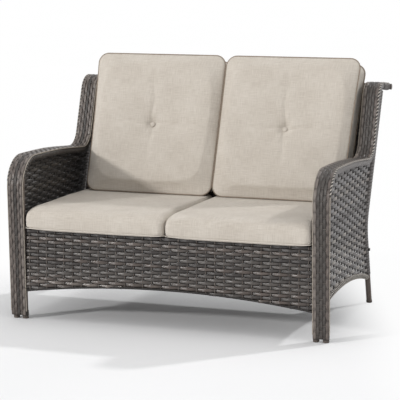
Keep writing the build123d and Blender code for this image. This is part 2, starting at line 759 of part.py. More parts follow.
def dimple(centre_x, top, floor, shrink):
    """The hollow that a tuft pulls into a face, from its rim at top down to its floor."""
    outlines = []
    for height, radius in ((top, tuft_r), ((top + floor) / 2, tuft_r * tuft_mid_share),
                           (floor, button_r + tuft_floor_margin)):
        with BuildSketch(back_plane(centre_x, height)) as ring:
            reach = radius + shrink
            slant = reach * sin(radians(45))
            with BuildLine():
                ThreePointArc((reach, tuft_y), (slant, tuft_y + slant), (0, tuft_y + reach))
                ThreePointArc((0, tuft_y + reach), (-slant, tuft_y + slant), (-reach, tuft_y))
                ThreePointArc((-reach, tuft_y), (-slant, tuft_y - slant), (0, tuft_y - reach))
                ThreePointArc((0, tuft_y - reach), (slant, tuft_y - slant), (reach, tuft_y))
            make_face()
        outlines.append(ring.sketch)
    return stacked(outlines)


front_top = back_front_crown
rear_top = -back_boxing - back_rear_crown
front_floor = front_top - front_tuft_depth
rear_floor = rear_top + rear_tuft_depth


def tufted(centre_x, shrink):
    """A back cushion's form with a tuft in its front and in its rear face."""
    form = back_form(centre_x, shrink)
    front_dimple = dimple(centre_x, front_top - shrink + seat_gap, front_floor - shrink, shrink)
    rear_dimple = dimple(centre_x, rear_top + shrink - seat_gap, rear_floor + shrink, shrink)
    with BuildPart() as made:
        add(form)
        add(front_dimple, mode=Mode.SUBTRACT)
        add(rear_dimple, mode=Mode.SUBTRACT)
    return made.part


for name, side in sides.items():
    centre_x = side * (back_split + back_cushion_width) / 2
    axis = back_plane(centre_x, 0)
    tuft_point = axis.from_local_coords(Vector(0, tuft_y))
    forward = axis.z_dir
    through = (tuft_point + forward * rear_top, tuft_point + forward * front_top)
    outer_form, inner_form = tufted(centre_x, 0), tufted(centre_x, cover_thickness)
    core_form = tufted(centre_x, cover_thickness + core_gap)
    zip_y = front_y + back_front_reach + back_boxing * cos(lean) / 2
    zip_width = back_cushion_width * zip_width_share

    with BuildPart() as back_cover:
        add(outer_form)
        add(inner_form, mode=Mode.SUBTRACT)
        rod(*through, twine_r + seat_gap, mode=Mode.SUBTRACT)
        with Locations((centre_x, zip_y, back_foot_z)):
            Box(zip_width, zip_height, 4 * cover_thickness, mode=Mode.SUBTRACT)
    save(back_cover, f"{name}_back_cushion_cover")

    with BuildPart() as back_core:
        add(core_form)
        rod(*through, twine_r + seat_gap, mode=Mode.SUBTRACT)
    save(back_core, f"{name}_back_cushion_core")

    with BuildPart() as back_zip:
        with Locations((centre_x, zip_y, back_foot_z + zip_thickness / 2)):
            Box(zip_width - 2 * seat_gap, zip_height - 2 * seat_gap, zip_thickness)
    save(back_zip, f"{name}_back_cushion_zip")

    for seam_name, height in (("front", 0), ("rear", -back_boxing)):
        stand_off = piping_r + seat_gap
        seam = pillow_outline(back_plane(centre_x, height), back_cover_half + stand_off,
                              -height * tan(lean) - stand_off, back_cushion_height + stand_off,
                              back_corner + stand_off, (0, back_pull, back_pull, back_pull))
        seam_path = seam.faces()[0].outer_wire()
        with BuildPart() as piping:
            with BuildSketch(Plane(origin=seam_path @ 0, z_dir=seam_path % 0)):
                Circle(piping_r)
            sweep(path=seam_path)
        save(piping, f"{name}_back_cushion_{seam_name}_piping")

    with BuildPart() as back_buttons:
        for floor, turn in ((front_floor, 1), (rear_floor, -1)):
            base = tuft_point + forward * (floor + turn * seat_gap)
            rod(base, base + forward * turn * button_height, button_r)
        fillet(back_buttons.edges().filter_by(GeomType.CIRCLE), radius=button_round)
    save(back_buttons, f"{name}_back_cushion_buttons")

    with BuildPart() as tuft_twine:
        rod(tuft_point + forward * (rear_floor - seat_gap), tuft_point + forward * (front_floor + seat_gap),
            twine_r)
    save(tuft_twine, f"{name}_back_cushion_tuft_twine")
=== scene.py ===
# %% [markdown]
# # A patio loveseat in woven resin
#
# The seat has a bent tube frame, woven resin skins, two loose seat cushions and two leaning back
# cushions, each pulled in by one tuft. The frame arrives as exact solids in metres, with the front
# facing -Y and the floor at zero. This lesson dresses it: it weaves the skins strand by strand, skins the
# tubes, sews the cushions and lights the whole as in the reference picture.

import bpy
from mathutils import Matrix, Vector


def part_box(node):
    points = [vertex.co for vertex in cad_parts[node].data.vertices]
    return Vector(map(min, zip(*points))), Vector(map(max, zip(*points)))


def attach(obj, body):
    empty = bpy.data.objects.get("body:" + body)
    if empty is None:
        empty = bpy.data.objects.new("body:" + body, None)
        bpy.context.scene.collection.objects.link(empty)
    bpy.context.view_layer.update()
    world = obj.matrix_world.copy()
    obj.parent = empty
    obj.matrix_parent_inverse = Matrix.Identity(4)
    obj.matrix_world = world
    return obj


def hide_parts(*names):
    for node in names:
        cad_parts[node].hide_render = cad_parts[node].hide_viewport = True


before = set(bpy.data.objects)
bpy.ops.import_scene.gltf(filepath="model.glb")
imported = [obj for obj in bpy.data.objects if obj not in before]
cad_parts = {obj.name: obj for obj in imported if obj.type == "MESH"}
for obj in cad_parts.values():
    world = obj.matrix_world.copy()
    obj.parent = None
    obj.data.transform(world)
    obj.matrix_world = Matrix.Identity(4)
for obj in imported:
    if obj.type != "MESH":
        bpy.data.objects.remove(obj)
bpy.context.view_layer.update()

# %% Modules
from math import ceil, cos, pi, radians, sin, sqrt, tan

import bmesh
import bpy
import numpy as np
from mathutils import Matrix, Vector

# %% [markdown]
# ## Camera
#
# The picture was taken from a little right of the front and slightly above the arms, from far away with a
# long lens. A place, a turn round the seat and a height angle set such a camera, and each can be judged
# alone against the picture. The lens then sets how large the seat stands in it.

# %% Camera
camera_place = Vector((2.1431, -6.03295, 1.40681))
camera_turn, camera_rise = radians(19.685), radians(8.639)
camera_lens = 146.8

camera = bpy.data.objects.new("picture_camera", bpy.data.cameras.new("picture_camera"))
bpy.context.scene.collection.objects.link(camera)
behind = Vector((sin(camera_turn) * cos(camera_rise), -cos(camera_turn) * cos(camera_rise), sin(camera_rise)))
rightward = Vector((cos(camera_turn), sin(camera_turn), 0))
upward = behind.cross(rightward)
turned = Matrix((rightward, upward, behind)).transposed().to_4x4()
camera.matrix_world = Matrix.Translation(camera_place) @ turned
camera.data.sensor_width = 36
camera.data.sensor_fit = "HORIZONTAL"
camera.data.lens = camera_lens
camera.data.clip_end = 300
bpy.context.scene.camera = camera
print("camera at", [round(v, 3) for v in camera.location], "lens", round(camera.data.lens, 1))

# %% [markdown]
# ## Materials: small helpers
#
# A material is a tree of nodes. Two helpers keep the code short: one adds a node and feeds its inputs, and
# one does arithmetic on colours or numbers that change over the surface. Colours are written as they look
# on screen, and turned into the linear values that the shader needs.

# %% Node helpers
def put(tree, kind, feeds=(), **options):
    """Add a node, set its options and feed its inputs, from another node's output or from a value."""
    made = tree.nodes.new(kind)
    for option, value in options.items():
        setattr(made, option, value)
    for key, value in dict(feeds).items():
        if isinstance(value, bpy.types.NodeSocket):
            tree.links.new(value, made.inputs[key])
        else:
            made.inputs[key].default_value = value
    return made


def reckon(tree, operation, *values, kind="ShaderNodeMath"):
    """The result of one arithmetic node on outputs or numbers."""
    made = put(tree, kind, enumerate(values), operation=operation)
    return made.outputs[0]


def split(tree, vector):
    """The three numbers of a vector output."""
    return put(tree, "ShaderNodeSeparateXYZ", {0: vector}).outputs


def join(tree, x=0.0, y=0.0, z=0.0):
    """A vector output from three numbers or outputs."""
    return put(tree, "ShaderNodeCombineXYZ", {0: x, 1: y, 2: z}).outputs[0]


def screen(red, green, blue):
    """A colour as it looks on screen, from 0 to 255, turned into linear light."""
    linear = [v / 255 / 12.92 if v <= 10 else ((v / 255 + 0.055) / 1.055) ** 2.4 for v in (red, green, blue)]
    return (*linear, 1.0)


def ramp(tree, mask, *stops):
    """A colour ramp over a mask, with its stops as (place, colour)."""
    made = put(tree, "ShaderNodeValToRGB", {0: mask})
    places = made.color_ramp.elements
    while len(places) < len(stops):
        places.new(0.5)
    for element, (place, colour) in zip(places, stops):
        element.position, element.color = place, colour
    return made.outputs[0]


def finish_of(name, roughness, **sockets):
    """A new material, its tree and its Principled shader, with plain values on the shader's sockets."""
    made = bpy.data.materials.new(name)
    made.use_nodes = True
    shader = made.node_tree.nodes["Principled BSDF"]
    shader.inputs["Roughness"].default_value = roughness
    for socket, value in sockets.items():
        shader.inputs[socket.replace("_", " ")].default_value = value
    return made, made.node_tree, shader


def new_group(name, inputs, outputs):
    """A shader node group with named number inputs and outputs."""
    group = bpy.data.node_groups.new(name, "ShaderNodeTree")
    for label, value in inputs:
        socket = group.interface.new_socket(label, in_out="INPUT", socket_type="NodeSocketFloat")
        socket.default_value = value
    for label in outputs:
        group.interface.new_socket(label, in_out="OUTPUT", socket_type="NodeSocketFloat")
    return group, put(group, "NodeGroupInput").outputs, put(group, "NodeGroupOutput").inputs


def relief(tree, height, distance, strength=1.0):
    """A normal from a height between 0 and 1 that stands for a real distance in metres."""
    return put(tree, "ShaderNodeBump", {"Height": height, "Distance": distance,
                                        "Strength": strength}).outputs[0]


# %% [markdown]
# ## Floor and light
#
# The seat stands on a white studio floor that runs off into white. The floor is one large disc whose
# colour goes from a light grey near the seat to white far away, so the shadow stays and the background is
# clean. A low key light from the front left throws the arm's shadow on the cushions. A light from behind
# on the right gives the bright patch on the right seat, a wide light from above lifts the tops, and the
# white surroundings fill the rest.

# %% Floor
floor_reach = 120.0
floor_data = bpy.data.meshes.new("studio_floor")
made = bmesh.new()
bmesh.ops.create_circle(made, cap_ends=True, segments=96, radius=floor_reach)
made.to_mesh(floor_data)
made.free()
floor = bpy.data.objects.new("studio_floor", floor_data)
bpy.context.scene.collection.objects.link(floor)

floor_paint, tree, shader = finish_of("studio_floor", 0.9)
place = put(tree, "ShaderNodeTexCoord").outputs["Object"]
x, y, z = split(tree, place)
turn_cos, turn_sin, most_white = 0.94, 0.34, 0.94
east = reckon(tree, "MULTIPLY_ADD", x, turn_cos, reckon(tree, "MULTIPLY", y, turn_sin))
north = reckon(tree, "MULTIPLY_ADD", y, turn_cos, reckon(tree, "MULTIPLY", x, -turn_sin))
south = reckon(tree, "MULTIPLY", north, -1.0)
white_share = 0.0
for measure, low, high in ((east, 0.47, 0.76), (north, 0.30, 1.10), (south, 1.30, 1.90)):
    fade = put(tree, "ShaderNodeMapRange", {0: measure, 1: low, 2: high, 3: 0.0, 4: most_white},
               interpolation_type="SMOOTHSTEP").outputs[0]
    white_share = reckon(tree, "MAXIMUM", fade, white_share)
cloud = put(tree, "ShaderNodeTexNoise", {"Vector": place, "Scale": 0.7, "Detail": 1.0}).outputs[0]
tree.links.new(ramp(tree, cloud, (0.3, screen(229, 230, 231)), (0.7, screen(235, 235, 236))),
               shader.inputs["Base Color"])
white = put(tree, "ShaderNodeEmission", {"Color": (1, 1, 1, 1), "Strength": 1.0}).outputs[0]
white_share = reckon(tree, "MULTIPLY", white_share, put(tree, "ShaderNodeLightPath").outputs["Is Camera Ray"])
faded = put(tree, "ShaderNodeMixShader", {0: white_share, 1: shader.outputs[0], 2: white}).outputs[0]
tree.links.new(faded, tree.nodes["Material Output"].inputs["Surface"])
floor.data.materials.append(floor_paint)
print("floor radius", floor_reach)

# %% Lights
def sun(name, towards, strength, softness, colour):
    """A sun lamp that shines from a direction, with the angle that it fills in the sky."""
    lamp = bpy.data.objects.new(name, bpy.data.lights.new(name, "SUN"))
    bpy.context.scene.collection.objects.link(lamp)
    lamp.data.energy, lamp.data.angle, lamp.data.color = strength, radians(softness), colour
    lamp.rotation_euler = Vector(towards).to_track_quat("Z", "Y").to_euler()
    return lamp


sun("key_light", (-0.85, -0.95, 0.44), 1.75, 5.0, (1.0, 0.99, 0.98))
sun("rear_light", (0.85, 0.90, 0.88), 1.15, 3.0, (1.0, 1.0, 1.0))
sun("top_light", (0.05, -0.1, 1.0), 0.55, 50.0, (1.0, 1.0, 1.0))

world = bpy.context.scene.world or bpy.data.worlds.new("studio")
bpy.context.scene.world = world
world.use_nodes = True
sky = world.node_tree
background = sky.nodes["Background"]
rays = put(sky, "ShaderNodeLightPath").outputs
seen = reckon(sky, "MAXIMUM", rays["Is Camera Ray"], reckon(sky, "MAXIMUM", rays["Is Glossy Ray"],
                                                           rays["Is Transmission Ray"]))
fill_strength = 0.60
sky.links.new(put(sky, "ShaderNodeMapRange", {0: seen, 3: fill_strength, 4: 1.0}).outputs[0],
              background.inputs["Strength"])
background.inputs["Color"].default_value = (1, 1, 1, 1)
bpy.context.scene.view_settings.view_transform = "Standard"
print("fill", fill_strength)

# %% [markdown]
# ## Resin strand
#
# The strand is extruded resin: flat, with a few fine ribs along it, and coloured in streaks, so that a
# woven face shows charcoal, brown and light taupe side by side. Every strand gets its own share of light or
# dark from one random number, and the streaks run along it. The group below gives a tone and a height from
# the strand's own measure, which is metres along it and -1 to 1 across it, so the pattern follows each
# strand over and under the others. Each weave then colours that tone in its own way.

# %% Strand grain group
group, given, wanted = new_group("Strand grain", [("Along", 0), ("Across", 0), ("Shade", 0.5),
                                                  ("Streak", 0.5)],
                                 ["Tone", "Height"])
offset = reckon(group, "MULTIPLY", given["Shade"], 57.0)
streak_at = join(group, reckon(group, "MULTIPLY", given["Along"], 14.0),
                 reckon(group, "MULTIPLY", given["Across"], 2.2), offset)
streaks = put(group, "ShaderNodeTexNoise", {"Vector": streak_at, "Scale": 1.0, "Detail": 4.0,
                                            "Roughness": 0.65}).outputs[0]
fine_at = join(group, reckon(group, "MULTIPLY", given["Along"], 160.0),
               reckon(group, "MULTIPLY", given["Across"], 9.0), offset)
fine = put(group, "ShaderNodeTexNoise", {"Vector": fine_at, "Scale": 1.0, "Detail": 2.0}).outputs[0]
ribs = reckon(group, "ABSOLUTE", reckon(group, "COSINE", reckon(group, "MULTIPLY", given["Across"],
                                                                1.5 * pi)))
streak_part = reckon(group, "MULTIPLY", reckon(group, "SUBTRACT", streaks, 0.5), given["Streak"])
tone = reckon(group, "ADD", given["Shade"], reckon(group, "MULTIPLY", streak_part, 2.2))
tone = reckon(group, "ADD", tone, reckon(group, "MULTIPLY", reckon(group, "SUBTRACT", fine, 0.5), 0.25))
tone = reckon(group, "ADD", tone, reckon(group, "MULTIPLY", reckon(group, "SUBTRACT", ribs, 0.6), 0.12))
group.links.new(reckon(group, "MINIMUM", reckon(group, "MAXIMUM", tone, 0.0), 1.0), wanted["Tone"])
group.links.new(reckon(group, "ADD", reckon(group, "MULTIPLY", ribs, 0.8),
                       reckon(group, "MULTIPLY", fine, 0.3)), wanted["Height"])
strand_grain = group

# %% Strand materials
def strand_material(name, stops, streak=0.5, roughness=0.42, hollow=0.85, sharpness=3.0):
    """A material for woven strands, coloured from dark to light by its stops, with painted shade in the
    hollows and on the inner faces.
    """
    material, tree, shader = finish_of(name, roughness)
    along = split(tree, put(tree, "ShaderNodeUVMap", uv_map="strand").outputs[0])
    shade = put(tree, "ShaderNodeAttribute", attribute_name="shade").outputs["Fac"]
    recess = put(tree, "ShaderNodeAttribute", attribute_name="recess").outputs["Fac"]
    grain = put(tree, "ShaderNodeGroup", node_tree=strand_grain)
    for label, value in (("Along", along[0]), ("Across", along[1]), ("Shade", shade)):
        tree.links.new(value, grain.inputs[label])
    grain.inputs["Streak"].default_value = streak
    # Painted shade: the value that the weave tree stores for each strand's hollows and inner face, sharpened
    # and scaled by hollow, pulls the colour towards near black
    depth = reckon(tree, "MULTIPLY", reckon(tree, "POWER", recess, sharpness), hollow)
    colour = put(tree, "ShaderNodeMix", data_type="RGBA")
    tree.links.new(depth, colour.inputs[0])
    tree.links.new(ramp(tree, grain.outputs["Tone"], *stops), colour.inputs[6])
    colour.inputs[7].default_value = screen(24, 20, 18)
    tree.links.new(colour.outputs[2], shader.inputs["Base Color"])
    tree.links.new(put(tree, "ShaderNodeMapRange", {0: grain.outputs["Tone"], 3: roughness + 0.08,
                                                    4: roughness - 0.06}).outputs[0],
                   shader.inputs["Roughness"])
    tree.links.new(relief(tree, grain.outputs["Height"], 0.0006), shader.inputs["Normal"])
    return material


# Every weave below gets painted shade in its hollows through hollow and sharpness; the side panels'
# near-black pockets are almost all painted shade, and the band's dark dashes are partly painted shade
front_resin = strand_material("front_resin", [
    (0.0, screen(41, 36, 34)), (0.30, screen(61, 56, 53)), (0.55, screen(81, 76, 72)),
    (0.75, screen(74, 63, 57)), (1.0, screen(115, 107, 101))], roughness=0.33)
side_resin = strand_material("side_resin", [
    (0.0, screen(94, 88, 86)), (0.35, screen(115, 111, 109)), (0.6, screen(124, 121, 122)),
    (0.8, screen(137, 128, 121)), (1.0, screen(151, 144, 137))], streak=0.4, hollow=0.98, sharpness=0.9)
band_resin = strand_material("band_resin", [
    (0.0, screen(45, 40, 37)), (0.35, screen(66, 61, 57)), (0.6, screen(86, 80, 77)),
    (0.8, screen(77, 66, 60)), (1.0, screen(120, 112, 106))], streak=0.7, hollow=0.5)
back_resin = strand_material("back_resin", [
    (0.0, screen(56, 50, 46)), (0.35, screen(79, 72, 68)), (0.6, screen(94, 86, 83)),
    (0.8, screen(90, 77, 70)), (1.0, screen(124, 115, 107))])
light_resin = strand_material("light_resin", [
    (0.0, screen(150, 142, 133)), (1.0, screen(196, 189, 180))], streak=0.3)
dark_resin = strand_material("dark_resin", [
    (0.0, screen(24, 21, 20)), (0.6, screen(40, 36, 34)), (1.0, screen(66, 61, 58))])
print("strand finishes:", 6)

# %% [markdown]
# ## Weaving
#
# A weave is two sets of strands that pass over and under each other. It could be painted on as bumps, but
# its edges and its small gaps show against the light, so every strand is real. The tree below makes one
# set of them. Its object is a plan with one point for each strand, and the point carries where the strand
# starts and ends, its place across the weave, and whether it begins over or under. Each point gets a flat
# six-sided strand, and the strand is laid on a guide, a surface whose UV map is measured in metres, where
# it rises evenly over one crossing strand and falls under the next. How far it has fallen is kept as a
# value that the material turns into painted shade in the hollows, and each strand's inner face gets
# heavy painted shade too.

# %% Tree helpers
def new_tree(name, inputs):
    """A Geometry Nodes tree with named inputs, given as (label, socket type, value)."""
    tree = bpy.data.node_groups.new(name, "GeometryNodeTree")
    tree.interface.new_socket("Geometry", in_out="INPUT", socket_type="NodeSocketGeometry")
    for label, kind, value in inputs:
        socket = tree.interface.new_socket(label, in_out="INPUT", socket_type=f"NodeSocket{kind}")
        if value is not None:
            socket.default_value = value
    tree.interface.new_socket("Geometry", in_out="OUTPUT", socket_type="NodeSocketGeometry")
    return tree, put(tree, "NodeGroupInput").outputs


def end_tree(tree, shape, material):
    """The usual end of a tree: smooth faces, real geometry and the material."""
    smooth = put(tree, "GeometryNodeSetShadeSmooth", {"Geometry": shape}).outputs[0]
    real = put(tree, "GeometryNodeRealizeInstances", {"Geometry": smooth}).outputs[0]
    painted = put(tree, "GeometryNodeSetMaterial", {"Geometry": real, "Material": material}).outputs[0]
    put(tree, "NodeGroupOutput", {"Geometry": painted})


def stored(tree, name, kind="FLOAT"):
    """A value that the points carry under a name."""
    return put(tree, "GeometryNodeInputNamedAttribute", {"Name": name}, data_type=kind).outputs["Attribute"]


def store(tree, shape, name, value, kind="FLOAT", domain="POINT"):
    """The shape with one more named value."""
    return put(tree, "GeometryNodeStoreNamedAttribute", {"Geometry": shape, "Name": name, "Value": value},
               data_type=kind, domain=domain).outputs[0]


def grown(plan, tree, settings):
    """Run a tree on a plan object and give the plain mesh that comes out."""
    modifier = plan.modifiers.new("grow", "NODES")
    modifier.node_group = tree
    names = {item.name: item.identifier for item in tree.interface.items_tree if item.in_out == "INPUT"}
    for label, value in settings.items():
        modifier[names[label]] = value
    bpy.context.view_layer.update()
    evaluated = plan.evaluated_get(bpy.context.evaluated_depsgraph_get())
    mesh = bpy.data.meshes.new_from_object(evaluated)
    plan.modifiers.remove(modifier)
    return mesh


def scratch(mesh):
    """An object in the scene that only serves the making of others."""
    made = bpy.data.objects.new("scratch", mesh)
    bpy.context.scene.collection.objects.link(made)
    return made


def discard(*objects):
    for gone in objects:
        bpy.data.objects.remove(gone)


# %% Woven strands tree
tree, given = new_tree("Woven strands", [
    ("Guide", "Object", None), ("Width", "Float", 0.01), ("Thickness", "Float", 0.0014),
    ("Segments", "Int", 100),
    ("Wave height", "Float", 0.002), ("Wave pitch", "Float", 0.036), ("Wave start", "Float", 0.0),
    ("Swapped", "Float", 0.0), ("Material", "Material", None)])
flat_strand = put(tree, "GeometryNodeMeshCylinder", {"Vertices": 6, "Side Segments": given["Segments"],
                                                     "Radius": 1.0, "Depth": 1.0}).outputs[0]
strands = put(tree, "GeometryNodeInstanceOnPoints", {"Points": given["Geometry"],
                                                     "Instance": flat_strand}).outputs[0]
strands = put(tree, "GeometryNodeRealizeInstances", {"Geometry": strands}).outputs[0]
x, y, z = split(tree, put(tree, "GeometryNodeInputPosition").outputs[0])
share = reckon(tree, "ADD", z, 0.5)
length = reckon(tree, "SUBTRACT", stored(tree, "to"), stored(tree, "from"))
run = reckon(tree, "MULTIPLY_ADD", length, share, stored(tree, "from"))
turns = reckon(tree, "DIVIDE", reckon(tree, "SUBTRACT", run, given["Wave start"]), given["Wave pitch"])
swing = reckon(tree, "COSINE", reckon(tree, "MULTIPLY", reckon(tree, "ADD", turns, stored(tree, "over")), pi))
fallen = reckon(tree, "ARCCOSINE", reckon(tree, "MULTIPLY", swing, 0.998))
rise = reckon(tree, "SUBTRACT", 1.0, reckon(tree, "DIVIDE", fallen, pi))
fall = reckon(tree, "SUBTRACT", 1.0, rise)
half_width = reckon(tree, "MULTIPLY", given["Width"], 0.5)
across = reckon(tree, "MULTIPLY_ADD", x, half_width, stored(tree, "place"))
height = reckon(tree, "MULTIPLY", y, reckon(tree, "MULTIPLY", given["Thickness"], 0.577))
wave = reckon(tree, "MULTIPLY_ADD", rise, 2.0, -1.0)
height = reckon(tree, "MULTIPLY_ADD", wave, given["Wave height"], height)
# Painted shade: a strand's outer face darkens where it has fallen under a crossing strand, and its inner face
# gets heavy painted shade all along
outer = reckon(tree, "MINIMUM", reckon(tree, "MAXIMUM", reckon(tree, "MULTIPLY_ADD", y, 0.6, 0.5), 0.0), 1.0)
painted_inner_shade = reckon(tree, "MULTIPLY_ADD", rise, 0.25, 0.75)
recess = put(tree, "ShaderNodeMix", {0: outer, 2: painted_inner_shade, 3: fall}).outputs[0]
first = put(tree, "ShaderNodeMix", {0: given["Swapped"], 2: run, 3: across}).outputs[0]
second = put(tree, "ShaderNodeMix", {0: given["Swapped"], 2: across, 3: run}).outputs[0]
spot = join(tree, first, second)
guide = put(tree, "GeometryNodeObjectInfo", {"Object": given["Guide"]}).outputs["Geometry"]
measure = stored(tree, "guide", "FLOAT_VECTOR")
on_guide = put(tree, "GeometryNodeSampleUVSurface", data_type="FLOAT_VECTOR")
off_guide = put(tree, "GeometryNodeSampleUVSurface", data_type="FLOAT_VECTOR")
for sampler, value in ((on_guide, put(tree, "GeometryNodeInputPosition").outputs[0]),
                       (off_guide, stored(tree, "out", "FLOAT_VECTOR"))):
    for label, feed in (("Mesh", guide), ("Value", value), ("UV Map", measure), ("Sample UV", spot)):
        tree.links.new(feed, sampler.inputs[label])
lift = put(tree, "ShaderNodeVectorMath", {0: off_guide.outputs["Value"], "Scale": height},
           operation="SCALE").outputs[0]
laid = reckon(tree, "ADD", on_guide.outputs["Value"], lift, kind="ShaderNodeVectorMath")
strands = store(tree, strands, "strand", join(tree, run, x), "FLOAT2", "CORNER")
# the painted shade value is stored for the strand material
strands = store(tree, strands, "recess", recess)
strands = put(tree, "GeometryNodeSetPosition", {"Geometry": strands, "Position": laid}).outputs[0]
end_tree(tree, strands, given["Material"])
weaving = tree

# %% [markdown]
# The guide is a grid of points worked out by a small function of two measures. Its UV map holds those
# measures and a named value holds the outward direction, so the strands stand off the right side. A plan
# lists the strands, and a fixed seed gives each its shade.

# %% Guides and plans
def guide_surface(firsts, seconds, at, out):
    """A grid over two lists of measures, with its place and outward direction at each pair."""
    mesh = bpy.data.meshes.new("guide")
    points = [at(a, b) for b in seconds for a in firsts]
    wide = len(firsts)
    faces = [(i + j * wide, i + 1 + j * wide, i + 1 + (j + 1) * wide, i + (j + 1) * wide)
             for j in range(len(seconds) - 1) for i in range(wide - 1)]
    mesh.from_pydata(points, [], faces)
    measures = [(a, b) for b in seconds for a in firsts]
    layer = mesh.uv_layers.new(name="guide")
    for loop in mesh.loops:
        layer.data[loop.index].uv = measures[loop.vertex_index]
    outs = mesh.attributes.new("out", "FLOAT_VECTOR", "POINT")
    outs.data.foreach_set("vector", np.array([out(a, b) for b in seconds for a in firsts],
                                             np.float32).ravel())
    return scratch(mesh)


def strand_plan(strands, seed, low=0.0, high=1.0):
    """A plan of strands, each given as (from, to, place, over), with a random shade for each."""
    shades = np.random.default_rng(seed).uniform(low, high, len(strands))
    mesh = bpy.data.meshes.new("plan")
    mesh.from_pydata([(0, 0, 0)] * len(strands), [], [])
    columns = list(zip(*strands)) + [shades]
    for name, values in zip(("from", "to", "place", "over", "shade"), columns):
        mesh.attributes.new(name, "FLOAT", "POINT").data.foreach_set("value", np.array(values, np.float32))
    return scratch(mesh)


def woven(guide, strands, seed, material, pitch, start, width, wave, segment, thickness=0.0014, swapped=False,
          shades=(0.0, 1.0)):
    """One set of strands laid on a guide."""
    plan = strand_plan(strands, seed, *shades)
    longest = max(strand[1] - strand[0] for strand in strands)
    mesh = grown(plan, weaving, {
        "Guide": guide, "Width": width, "Thickness": thickness, "Segments": ceil(longest / segment),
        "Wave height": wave, "Wave pitch": pitch, "Wave start": start, "Swapped": float(swapped),
        "Material": material})
    discard(plan)
    return mesh


def joined(name, meshes):
    """One object from several meshes, with their materials and named values kept."""
    parts = [scratch(mesh) for mesh in meshes]
    bpy.ops.object.select_all(action="DESELECT")
    for part in parts:
        part.select_set(True)
    bpy.context.view_layer.objects.active = parts[0]
    if len(parts) > 1:
        bpy.ops.object.join()
    bpy.ops.object.select_all(action="DESELECT")
    parts[0].name = parts[0].data.name = name
    return parts[0]


def dress(piece, body, slot, *nodes):
    """Attach a finished piece to the body that it moves with, and hide the frame nodes that it stands for;
    its slot is not used.
    """
    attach(piece, body)
    if nodes:
        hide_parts(*nodes)
    piece.data.calc_loop_triangles()
    print(f"{piece.name}: {len(piece.data.loop_triangles)} triangles")
    return piece

# %% [markdown]
# ## Shared measures
#
# The strands follow the frame, so the scene repeats the frame's own lines: the side view of the arms,
# from the front foot up, over the arm, up the wing and over the roll, and the back stile that
# starts at the rear foot and leans back. Heights and reaches are in metres, and a reach counts rearwards
# from the front feet.

# %% Lines of the frame
front_y = -0.419
tube_r = 0.011
leg_bow, arm_rise = 0.022, 0.618
arm_corners = [(0, 0), (-leg_bow, arm_rise), (0.300, 0.617), (0.617, 0.592), (0.714, 0.884), (0.865, 0.868)]
arm_bends = [0.105, 2.5, 0.092, 0.060]
waist = (0.598, 0.340)
lean = radians(20)
rear_foot_reach = 0.730
stile_high = (waist[0] + (0.873 - waist[1]) * tan(lean), 0.873)
stile_corners = [(rear_foot_reach, 0), waist, stile_high]
seat_height = 0.354
bay_half = 0.5737
sides = {"left": -1, "right": 1}
inner_x, outer_foot_x, outer_lean, panel_taper = 0.585, 0.6225, 0.01052, 0.02534
stile_foot_x, stile_spread = 0.604, 0.02


def outer_tube(side, reach, height):
    """Place on the centre line of an arm's outer tube, which leans out as it rises."""
    return side * (outer_foot_x + outer_lean * height), front_y + reach, height


def inner_tube(side, reach, height):
    """Place on the centre line of an arm's inner tube."""
    return side * inner_x, front_y + reach, height


def stile(side, reach, height):
    """Place on the centre line of a back stile."""
    return side * (stile_foot_x + stile_spread * height), front_y + reach, height


def panel_face(side, reach, height):
    """Place on a side panel, which draws in towards the rear."""
    return side * (outer_foot_x - panel_taper * reach + outer_lean * height), front_y + reach, height


def rounded(corners, bends, turn=4.0):
    """Points along straight runs and round bends."""
    points = [Vector(corners[0])]
    for before, corner, after, bend in zip(corners, corners[1:], corners[2:], bends):
        corner = Vector(corner)
        back_way = (Vector(before) - corner).normalized()
        on_way = (Vector(after) - corner).normalized()
        half = back_way.angle(on_way) / 2
        centre = corner + (back_way + on_way).normalized() * bend / sin(half)
        start = corner + back_way * bend / tan(half) - centre
        end = corner + on_way * bend / tan(half) - centre
        sweep = pi - 2 * half
        steps = max(2, ceil(sweep / radians(turn)))
        for step in range(steps + 1):
            share = step / steps
            points.append(centre + (start * sin((1 - share) * sweep) + end * sin(share * sweep)) / sin(sweep))
    points.append(Vector(corners[-1]))
    return points


def evenly(points, step=0.01):
    """The same line with a point at least every step, and the distance along it at each point."""
    line, reach = [points[0]], [0.0]
    for before, after in zip(points, points[1:]):
        length = (after - before).length
        for part in range(1, ceil(length / step) + 1):
            line.append(before.lerp(after, part / ceil(length / step)))
            reach.append(reach[-1] + length / ceil(length / step))
    return line, reach


def outward(line):
    """At each point of a side-view line, the direction to its left, which is out of the seat."""
    ways = []
    for number in range(len(line)):
        way = (line[min(number + 1, len(line) - 1)] - line[max(number - 1, 0)]).normalized()
        ways.append(Vector((-way.y, way.x)))
    return ways


def along(pairs, length, distance):
    """The pair of numbers at a distance along a line, from the pairs at its points."""
    return Vector([float(np.interp(distance, length, [pair[axis] for pair in pairs])) for axis in (0, 1)])


def off_line(line, length, out, distance, lift):
    """Y and height of a point that stands off a side-view line, and the way out there."""
    way = along(out, length, distance).normalized()
    point = along(line, length, distance) + way * lift
    return (front_y + point.x, point.y), tuple(way)


def cut_line(line, length, start, end):
    """The part of a line between two distances along it."""
    kept = [point for point, at in zip(line, length) if start + 0.002 < at < end - 0.002]
    return [tuple(point) for point in (along(line, length, start), *kept, along(line, length, end))]


arm_line, arm_length = evenly(rounded(arm_corners, arm_bends))
arm_out = outward(arm_line)
stile_line, stile_length = evenly(rounded(stile_corners, [0.150]))
stile_out = outward(stile_line)
print("arm line", round(arm_length[-1], 3), "m, stile line", round(stile_length[-1], 3), "m")

